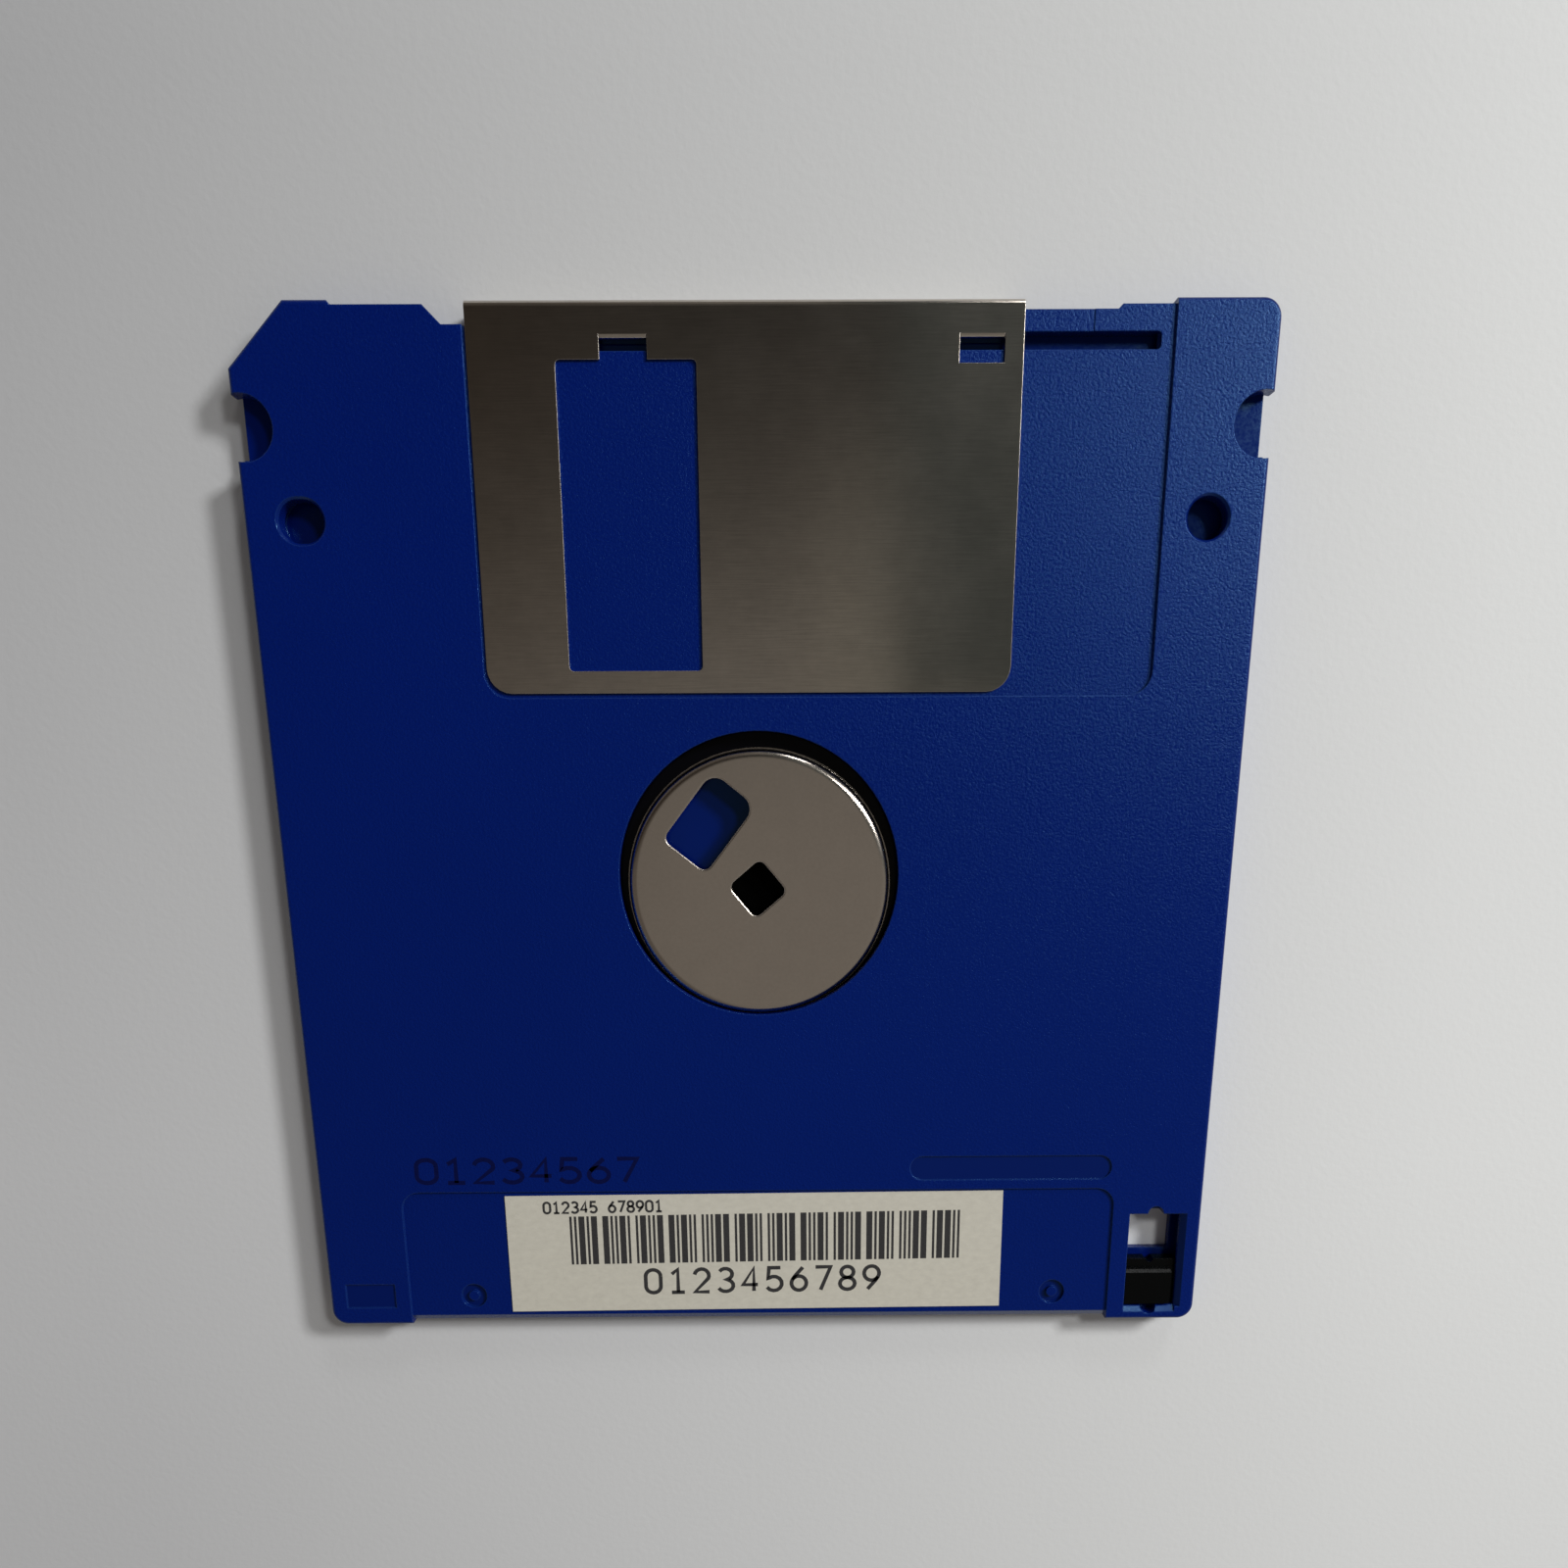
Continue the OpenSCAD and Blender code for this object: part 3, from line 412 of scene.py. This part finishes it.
def join_values(tree, share, first, second):
    """A number between two: the first where the share is 0, the second where it is 1."""
    node = tree.nodes.new("ShaderNodeMix")
    feed(tree, share, node.inputs[0])
    feed(tree, first, node.inputs[2])
    feed(tree, second, node.inputs[3])
    return node.outputs[0]


rim_turns = [round(math.degrees(math.acos(match)), 1) for match in (RIM_STARTS, RIM_FULL)]
print("a rim starts and is full at turns of, degrees:", rim_turns)

# %% [markdown]
# ## Dressing the CAD pieces
#
# The solid pieces come with plain materials. They could be copied and changed, but their shapes
# are right as they are, so each only swaps its material. A mesh keeps a list of materials, and
# every face uses the first of them unless it is told otherwise.

# %% One material for one piece


def dress(node, mat):
    """Gives a CAD piece one material."""
    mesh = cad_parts[node].data
    mesh.materials.clear()
    mesh.materials.append(mat)
    print(node, "wears", mat.name)


print("pieces that wait for a finish:", sorted(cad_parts))

# %% [markdown]
# ## Moulded case
#
# Both shells are injection moulded in one deep blue plastic. The tool's face was spark eroded, so
# the skin has a fine even grain that catches the light at the upper right. Here one noise makes
# both the bumps and the roughness, so that the gloss breaks up where the grain is, as it does on
# the real skin. The gloss is tinted blue, because a clear gloss looks grey on so dark a colour.

# %% Blue moulded plastic
# Paler blue for the rims: partly edge wear, partly a painted highlight for the glint that the rims
# catch
RIM_WEAR_AND_HIGHLIGHT_BLUE = (0.02, 0.07, 0.22)
RIM_ROUGHNESS = 0.16


def moulded_blue(name, base, roughness, grain, tint):
    """Plastic as it leaves the tool: grain is the skin's height in mm, tint colours its gloss."""
    mat, tree, shader = new_material(name, base, roughness)
    where = millimetres(tree)
    fine = noise(tree, where, 4.0, 3.0, 0.7)
    broad = noise(tree, where, 0.03, 2.0)
    facing, rim = soft_edges(tree, 0.15)
    body = blend_colours(tree, broad, *shades(base, 0.08))
    # Painted highlight and wear: the rims are blended towards a paler blue
    colour = blend_colours(tree, remap(tree, rim, 0, 1, 0, 0.4), body, RIM_WEAR_AND_HIGHLIGHT_BLUE)
    tree.links.new(colour, shader.inputs["Base Color"])
    skin = remap(tree, fine, NOISE_LOW, NOISE_HIGH, roughness * 0.65, roughness * 1.35)
    tree.links.new(join_values(tree, rim, skin, RIM_ROUGHNESS), shader.inputs["Roughness"])
    raise_surface(tree, shader, fine, grain, facing)
    shader.inputs["Specular IOR Level"].default_value = 0.42
    shader.inputs["Specular Tint"].default_value = (*tint, 1)
    return mat


case_blue = moulded_blue(
    "moulded_blue", (0.0004, 0.0085, 0.135), roughness=0.275, grain=0.055, tint=(0.22, 0.56, 1),
)
dress("hub_side_shell", case_blue)
dress("label_side_shell", case_blue)

# %% [markdown]
# ## Polished places on the case, with painted shade in its hollows
#
# The floors of the small bare recesses and of the holes come from polished inserts in the tool, and
# the bevels were cut smooth, so they are shinier than the grained skin. Their base colour is also a
# darker blue, which is painted shade on the floors of the holes and recesses; the bevels share that
# material. They could be pieces of their own, but they are one moulding. So the faces are picked by
# their height and their slope, and get a second material of the same plastic.

# %% Faces that the tool left smooth
CASE_TOP = 3.3
RECESS_FLOOR = CASE_TOP - 0.18
HOLE_FLOORS_BELOW = 2.9
BEVELS_ABOVE = 2.6

# Painted shade: a darker blue for the floors of holes and recesses, with the smoother gloss of
# polished inserts
polished_blue_painted_shade = moulded_blue(
    "polished_blue_with_painted_shade", (0.0004, 0.0072, 0.112), roughness=0.18, grain=0.002, tint=(0.3, 0.66, 1),
)
polished = 0
for node in ("hub_side_shell", "label_side_shell"):
    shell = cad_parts[node].data
    shell.materials.append(polished_blue_painted_shade)
    for face in shell.polygons:
        up, height_mm = face.normal.z, face.center.z / MM
        floor_of_recess = up > 0.99 and abs(height_mm - RECESS_FLOOR) < 0.01
        floor_of_hole = up > 0.9 and height_mm < HOLE_FLOORS_BELOW
        bevel = 0.3 < up < 0.95 and height_mm > BEVELS_ABOVE
        if floor_of_recess or floor_of_hole or bevel:
            face.material_index = 1
            polished += 1
print("polished faces:", polished)

# %% [markdown]
# ## Steel
#
# The shutter is cut and folded from rolled stainless sheet. Rolling leaves fine straight lines
# across the disk, and use adds a few light rubs. The hub is pressed, so its grain has no direction,
# and its punched holes have rolled-over rims that catch the light. One recipe serves for both: a
# noise that is stretched for rolled sheet, and even for pressed metal and for wire.

# %% Satin steel


def satin_steel(name, base, roughness, lines, depth, spread, edge, edge_roughness, samples=4):
    """Bare steel: lines per mm along X, Y and Z, their depth in mm, and the radius of its edges."""
    mat, tree, shader = new_material(name, base, roughness, 1.0)
    streaks = noise(tree, millimetres(tree, lines), 1.0, 4.0, 0.6)
    rubs = noise(tree, millimetres(tree), 0.12, 3.0)
    clouds = noise(tree, millimetres(tree), 0.45, 4.0, 0.65)
    share = remap(tree, join_values(tree, 0.4, streaks, clouds), 0.35, 0.65, 0, 1)
    tree.links.new(blend_colours(tree, share, *shades(base, spread)), shader.inputs["Base Color"])
    skin = remap(tree, rubs, NOISE_LOW, NOISE_HIGH, roughness - 0.02, roughness + 0.02)
    facing, rim = soft_edges(tree, edge, samples)
    tree.links.new(join_values(tree, rim, skin, edge_roughness), shader.inputs["Roughness"])
    raise_surface(tree, shader, streaks, depth, facing)
    return mat


shutter_steel = satin_steel(
    "rolled_shutter_steel", (0.56, 0.51, 0.45), roughness=0.13, lines=(0.3, 9, 9), depth=0.001,
    spread=0.12, edge=0.05, edge_roughness=0.55, samples=6,
)
dress("shutter", shutter_steel)
hub_steel = satin_steel(
    "pressed_hub_steel", (0.56, 0.50, 0.44), roughness=0.16, lines=(3, 3, 3), depth=0.0008,
    spread=0.04, edge=0.28, edge_roughness=0.3, samples=10,
)
dress("hub", hub_steel)

# %% [markdown]
# ## Film, slider and wear pad
#
# Through the hub hole only the dark film shows, as a ring around the hub. The black slider stands
# in its window, and a slippery pad shows through the hub's square hole. All three are dark and
# nearly even, so one plain recipe is enough: a fine grain for the colour, the roughness and the
# bumps together.

# %% A plain finish, and the dark pieces


def plain_finish(name, base, roughness, per_mm, depth, shine=0.3, spread=0.12):
    """An even finish: grains per mm, their height in mm, and how strong the gloss is."""
    mat, tree, shader = new_material(name, base, roughness)
    grain = noise(tree, millimetres(tree), per_mm, 4.0)
    tree.links.new(blend_colours(tree, grain, *shades(base, spread)), shader.inputs["Base Color"])
    skin = remap(tree, grain, NOISE_LOW, NOISE_HIGH, roughness - 0.05, roughness + 0.05)
    tree.links.new(skin, shader.inputs["Roughness"])
    raise_surface(tree, shader, grain, depth, soft_edges(tree, 0.06)[0])
    shader.inputs["Specular IOR Level"].default_value = shine
    return mat


film = plain_finish("coated_film", (0.0008, 0.0008, 0.002), 0.22, per_mm=2.0, depth=0.0006, shine=0.1)
dress("magnetic_disk", film)
pad = plain_finish(
    "slippery_pad", (0.0005, 0.0005, 0.0005), 0.45, per_mm=5.0, depth=0.002, shine=0.02,
)
dress("spindle_wear_pad", pad)
black = plain_finish(
    "black_moulding", (0.0008, 0.0012, 0.0014), 0.26, per_mm=5.0, depth=0.002, shine=0.12,
)
dress("write_protect_slider", black)

# %% [markdown]
# ## Pieces inside the case
#
# Two non-woven rings wipe the film, a bent leaf lifts one of them, and a ring of adhesive holds the
# film to the hub. They are out of sight here, but the model is also used opened up, so each gets
# the finish of its own material from the same recipe.

# %% Liners, leaf and adhesive
adhesive = plain_finish("dull_adhesive", (0.06, 0.055, 0.05), 0.8, per_mm=3.0, depth=0.005)
dress("hub_adhesive_ring", adhesive)
fabric = plain_finish("non_woven_liner", (0.78, 0.78, 0.75), 0.95, per_mm=2.5, depth=0.03)
dress("hub_side_liner", fabric)
dress("label_side_liner", fabric)
leaf = plain_finish("lifting_leaf", (0.68, 0.64, 0.55), 0.5, per_mm=2.0, depth=0.002)
dress("liner_lifter", leaf)

# %% [markdown]
# ## Paper label
#
# The label is uncoated paper with visible fibres. Paper fibres settle along the machine's run, so
# they look a little longer that way. A picture of paper would repeat or blur, and its scale would
# be a guess. A stretched noise makes the fibres instead, in the colour and as bumps, and a broad
# one makes clouds in the gloss.

# %% Uncoated paper
FIBRE_DARK, FIBRE_LIGHT = (0.59, 0.565, 0.485), (0.665, 0.64, 0.55)


def uncoated_paper():
    """Matt paper with fibres of about a millimetre."""
    mat, tree, shader = new_material("uncoated_paper", (0.66, 0.63, 0.54), 0.9)
    fibres = noise(tree, millimetres(tree, (1.0, 1.6, 1.0)), 1.2, 5.0, 0.7)
    clouds = noise(tree, millimetres(tree), 0.25, 3.0)
    share = remap(tree, fibres, NOISE_LOW, NOISE_HIGH, 0, 1)
    tree.links.new(blend_colours(tree, share, FIBRE_DARK, FIBRE_LIGHT), shader.inputs["Base Color"])
    tree.links.new(remap(tree, clouds, NOISE_LOW, NOISE_HIGH, 0.82, 0.95), shader.inputs["Roughness"])
    raise_surface(tree, shader, fibres, 0.01, soft_edges(tree, 0.04)[0])
    shader.inputs["Specular IOR Level"].default_value = 0.25
    return mat


dress("serial_label", uncoated_paper())

# %% [markdown]
# ## Shapes of the digits
#
# The print has plain digits with round bowls and an even line. A font could draw them, but its
# letters end as filled outlines with many faces. Each digit is kept here as a few pen strokes in a
# small box, which needs little text and gives a line of exactly the width that is asked for.

# %% Digits as pen strokes
DIGIT_W = 0.6


def arc(x, y, rx, ry, start, end, steps=10):
    """Points along part of an ellipse, angles in degrees."""
    angles = np.radians(np.linspace(start, end, steps + 1))
    return [(x + rx * math.cos(a), y + ry * math.sin(a)) for a in angles]


# Each digit stands in a box as wide as DIGIT_W and 1 high
DIGIT_STROKES = {
    "0": [arc(0.3, 0.72, 0.3, 0.28, 0, 180) + arc(0.3, 0.28, 0.3, 0.28, 180, 360) + [(0.6, 0.72)]],
    "1": [[(0.08, 0.8), (0.32, 1), (0.32, 0)], [(0.06, 0), (0.58, 0)]],
    "2": [arc(0.3, 0.71, 0.29, 0.29, 170, -25) + [(0.02, 0), (0.6, 0)]],
    "3": [arc(0.28, 0.76, 0.27, 0.24, 150, -90) + arc(0.28, 0.26, 0.31, 0.26, 90, -155)],
    "4": [[(0.44, 0), (0.44, 1), (0, 0.28), (0.6, 0.28)]],
    "5": [[(0.54, 1), (0.08, 1), (0.04, 0.54)] + arc(0.27, 0.31, 0.32, 0.31, 130, -150)],
    "6": [[(0.46, 1), (0.14, 0.62)] + arc(0.3, 0.31, 0.3, 0.31, 150, 510, 20)],
    "7": [[(0, 1), (0.6, 1), (0.2, 0)]],
    "8": [arc(0.3, 0.76, 0.25, 0.24, -90, 270, 16), arc(0.3, 0.26, 0.3, 0.26, 90, 450, 16)],
    "9": [[(0.14, 0), (0.46, 0.38)] + arc(0.3, 0.69, 0.3, 0.31, -30, 330, 20)],
}
print("digits:", len(DIGIT_STROKES), "strokes:", sum(map(len, DIGIT_STROKES.values())))

# %% [markdown]
# ## Lines of even width
#
# Printed lines have an even width, also round their corners. A curve object with a bevel could
# give that, but its round section stands too high for ink. Here each line becomes a flat ribbon.
# Its corners are mitred: two strokes meet along the line that halves their angle, so the width
# stays even.

# %% The two edges of a line


def ribbon(path, width):
    """Points along the left edge of a line and then along its right edge, with flat ends."""
    p = np.array(path, float)
    keep = [0] + [i for i in range(1, len(p)) if np.linalg.norm(p[i] - p[i - 1]) > 1e-6]
    p = p[keep]
    step = np.diff(p, axis=0)
    step /= np.linalg.norm(step, axis=1)[:, None]
    before = np.vstack([step[:1], step])
    after = np.vstack([step, step[-1:]])
    along = before + after
    along /= np.linalg.norm(along, axis=1)[:, None]
    side = np.stack([-along[:, 1], along[:, 0]], 1)
    stretch = np.clip(1 / np.maximum((along * after).sum(1), 0.5), 1, 1.6)
    reach = side * (stretch * width / 2)[:, None]
    return [*(p + reach), *(p - reach)]


print("points around a digit 4:", len(ribbon(DIGIT_STROKES["4"][0], 0.1)))

# %% [markdown]
# ## Pieces of print
#
# Ink lies on paper as a film of a few thousandths of a millimetre. A picture on the face would be
# the usual way, but this disk has real shapes only. So each ribbon gets a thickness: it starts
# just inside the paper and ends just above it. One mesh collects all ribbons of a line of print.

# %% Ribbons with a thickness
INK_BELOW, INK_ABOVE = 0.002, 0.004


class Print:
    """Collects thin raised shapes that lie on one face, then makes them one mesh."""

    def __init__(self, to_disk, top):
        self.to_disk, self.low, self.high = to_disk, top - INK_BELOW, top + INK_ABOVE
        self.points, self.faces = [], []

    def stroke(self, path, width):
        """Top, sides and ends of a ribbon along a path."""
        outline = ribbon(path, width)
        n = len(outline) // 2
        low, high = len(self.points), len(self.points) + 2 * n
        for height in (self.low, self.high):
            self.points += [Vector((*self.to_disk(*q), height)) * MM for q in outline]
        for i in range(n - 1):
            self.faces.append((high + i, high + n + i, high + n + i + 1, high + i + 1))
            self.faces.append((low + i, low + i + 1, high + i + 1, high + i))
            self.faces.append((low + n + i + 1, low + n + i, high + n + i, high + n + i + 1))
        self.faces.append((low, high, high + n, low + n))
        self.faces.append((low + n - 1, low + 2 * n - 1, high + 2 * n - 1, high + n - 1))

    def number(self, text, left, bottom, width, height, pitch, pen):
        """Plain digits, one every pitch, drawn with a pen of even width."""
        for place, digit in enumerate(text):
            start = left + place * pitch
            for path in DIGIT_STROKES[digit]:
                line = [(start + x / DIGIT_W * width, bottom + y * height) for x, y in path]
                self.stroke(line, pen)

    def finish(self, name, ink, body):
        """Makes one piece of all the ribbons, which rides on a body."""
        mesh = bpy.data.meshes.new(name)
        mesh.from_pydata(self.points, [], self.faces)
        mesh.materials.append(ink)
        piece = bpy.data.objects.new(name, mesh)
        bpy.context.scene.collection.objects.link(piece)
        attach(piece, body)
        print(name, "faces:", len(mesh.polygons))


print("ink height, mm:", INK_ABOVE)

# %% [markdown]
# ## Where the label lies
#
# The label sits a little turned, and its print runs up a little towards its right. The print could
# be laid out on the disk at once, but it is easiest to measure from the label's own lower left
# corner. So one function takes a place on the label to its place on the disk, and the turn and the
# slant are written only once.

# %% From the label to the disk
LABEL_W, LABEL_H = 50.8, 12.7
LABEL_MIDDLE = (-0.8, -39.2)
LABEL_TURN = math.radians(0.3)
LABEL_TOP = 3.15
PRINT_SLANT = 0.006
label_ink = plain_finish(
    "grey_black_ink", (0.038, 0.037, 0.038), 0.7, per_mm=6.0, depth=0.001, shine=0.2, spread=0.45,
)


def on_label(x, y):
    """From the label's lower left corner to the disk's frame, in millimetres."""
    x, y = x - LABEL_W / 2, y - LABEL_H / 2 + PRINT_SLANT * (x - LABEL_W / 2)
    c, s = math.cos(LABEL_TURN), math.sin(LABEL_TURN)
    return LABEL_MIDDLE[0] + c * x - s * y, LABEL_MIDDLE[1] + s * x + c * y


print("label's lower left corner, mm:", [round(v, 2) for v in on_label(0, 0)])

# %% [markdown]
# ## Bars
#
# A row of wide and narrow bars fills the middle of the label, in groups of five with two wide ones.
# The bars are straight, so each is one stroke. Their rhythm repeats and stands for no number. The
# narrow width follows from the row's width, so the row always fits its place.

# %% Wide and narrow bars
BARS_LEFT, BARS_W = 6.45, 40.0
BARS_LOW, BARS_HIGH = LABEL_H - 7.4, LABEL_H - 2.15
GROUPS = 12
# Which two of a group's five bars are wide
WIDE_BARS = [(2, 4), (0, 3), (1, 4), (0, 2), (3, 4), (1, 2)]
WIDE_TO_NARROW = 2.5
NARROW = BARS_W / (GROUPS * (7 + 3 * WIDE_TO_NARROW) - WIDE_TO_NARROW)
WIDE = WIDE_TO_NARROW * NARROW
# Ink spreads a little into the paper
INK_SPREAD = 1.06

bars = Print(on_label, LABEL_TOP)
x = BARS_LEFT
for group in range(GROUPS):
    for bar in range(5):
        width = WIDE if bar in WIDE_BARS[group % len(WIDE_BARS)] else NARROW
        bars.stroke([(x + width / 2, BARS_LOW), (x + width / 2, BARS_HIGH)], width * INK_SPREAD)
        x += width + (WIDE if bar == 4 else NARROW)
bars.finish("label_bars", label_ink, "case")

# %% [markdown]
# ## Digits on the label
#
# Ten plain digits stand below the bars, and two short groups of small ones form the heading above
# them. They only count up. Both use the same strokes at another size, as a printer uses one type
# in two sizes, so a change to a digit shows in both.

# %% Digits below the bars and in the heading
digits = Print(on_label, LABEL_TOP)
digits.number("0123456789", 14.0, LABEL_H - 10.7, width=1.55, height=2.55, pitch=2.52, pen=0.40)
digits.finish("label_digits", label_ink, "case")

HEADING_LEFT, HEADING_BOTTOM = 3.9, LABEL_H - 1.75
HEADING_TYPE = {"width": 0.66, "height": 1.15, "pitch": 0.95, "pen": 0.24}
SECOND_GROUP = HEADING_LEFT + 7 * HEADING_TYPE["pitch"]
heading = Print(on_label, LABEL_TOP)
heading.number("012345", HEADING_LEFT, HEADING_BOTTOM, **HEADING_TYPE)
heading.number("678901", SECOND_GROUP, HEADING_BOTTOM, **HEADING_TYPE)
heading.finish("label_heading", label_ink, "case")

# %% [markdown]
# ## Number on the plastic
#
# A number is printed straight on the case, above the label, in an ink that is hardly darker than
# the plastic. It shows mostly because the grained skin shines around it, so its ink is a navy blue
# with almost no grain. It could be pressed into the case, but the photo shows no edges there. The
# print stands straight, so its places are the disk's own.

# %% Number in navy ink
case_ink = plain_finish(
    "navy_ink", (0.0006, 0.0030, 0.050), 0.5, per_mm=5.0, depth=0.001, shine=0.12, spread=0.3,
)
code = Print(lambda x, y: (x, y), CASE_TOP)
code.number("01234567", -34.9, -31.45, width=2.0, height=2.45, pitch=2.9, pen=0.44)
code.finish("case_number", case_ink, "case")

# %% [markdown]
# ## Closing spring
#
# A wire spring under the shell pushes the shutter shut. One leg bears on the shutter's far tab, and
# the coil and the other leg stay with the case. The CAD model has it as one stiff solid. It is drawn
# once more here as a round wire. A screw or curve object could draw the coil, but a list of points
# also gives the two straight legs, which leave the coil exactly along its edge.

# %% Middle line of the wire
COIL_R = 1.7
TURNS = 3
# Places of the wire's ends and of the coil, as in the CAD model
TAB_END = (21.8, 44.05)
POST_END = (39.8, 44.05)
COIL_AT = (30.8, 44.05 - 6.666)
TAB_Z, POST_Z = 2.15, 1.15


def spring_path():
    """Points from the tab along one leg, round the coil and along the other leg, in mm."""
    half = (POST_END[0] - TAB_END[0]) / 2
    drop = TAB_END[1] - COIL_AT[1]
    slope = math.degrees(math.atan2(drop, half))
    touch = math.degrees(math.acos(COIL_R / math.hypot(half, drop)))
    first = 180 - slope + touch
    sweep = 360 * (TURNS + 1) - 180 + 2 * slope - 2 * touch
    coil = []
    for share in np.linspace(0, 1, 121):
        angle = math.radians(first + sweep * share)
        x = COIL_AT[0] + COIL_R * math.cos(angle)
        y = COIL_AT[1] + COIL_R * math.sin(angle)
        coil.append((x, y, TAB_Z + (POST_Z - TAB_Z) * share))
    leg = np.linspace((*TAB_END, TAB_Z), coil[0], 13)[:-1]
    other = np.linspace(coil[-1], (*POST_END, POST_Z), 7)[1:]
    return np.vstack([leg, coil, other])


wire_line = spring_path()
wire_length = np.linalg.norm(np.diff(wire_line, axis=0), axis=1).sum()
print("spring points:", len(wire_line), "wire length, mm:", round(float(wire_length), 1))

# %% [markdown]
# ## Wire around the line
#
# Drawn wire is round and even, with closed ends. A ring of points is set across the line at every
# step, and neighbouring rings are joined by faces. The side direction is always taken flat, from
# above, so the rings don't twist on their way round the coil.

# %% A tube from rings
WIRE_R = 0.15


def tube_mesh(name, path, radius, sides=10):
    """A round wire swept along a path, closed at both ends."""
    ahead = np.gradient(path, axis=0)
    ahead /= np.linalg.norm(ahead, axis=1)[:, None]
    side = np.stack([ahead[:, 1], -ahead[:, 0], np.zeros(len(path))], 1)
    side /= np.linalg.norm(side, axis=1)[:, None]
    up = np.cross(side, ahead)
    points = [
        Vector(path[i] + radius * (math.cos(a) * side[i] + math.sin(a) * up[i])) * MM
        for i in range(len(path)) for a in np.linspace(0, 2 * math.pi, sides, endpoint=False)
    ]
    faces = []
    for i in range(len(path) - 1):
        here, ahead_ring = i * sides, (i + 1) * sides
        for k in range(sides):
            beside = (k + 1) % sides
            faces.append((here + k, ahead_ring + k, ahead_ring + beside, here + beside))
    faces += [tuple(range(sides)), tuple(range(len(points) - 1, len(points) - sides - 1, -1))]
    mesh = bpy.data.meshes.new(name)
    mesh.from_pydata(points, [], faces)
    mesh.polygons.foreach_set("use_smooth", [True] * len(faces))
    return mesh


spring = bpy.data.objects.new("closing_spring", tube_mesh("closing_spring", wire_line, WIRE_R))
print("spring faces:", len(spring.data.polygons))

# %% [markdown]
# ## The spring at rest
#
# A torsion spring gives way in its coil, so its leg swings almost straight when the shutter opens.
# Here the spring is drawn at rest, in a drawn-wire finish. The stiff CAD spring is hidden and stays
# in the motion model.

# %% Spring in drawn wire
wire_steel = satin_steel(
    "drawn_wire", (0.6, 0.6, 0.6), roughness=0.25, lines=(4, 4, 4), depth=0.001, spread=0.05,
    edge=0.02, edge_roughness=0.25,
)
spring.data.materials.append(wire_steel)
bpy.context.scene.collection.objects.link(spring)
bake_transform(spring)
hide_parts("shutter_spring")
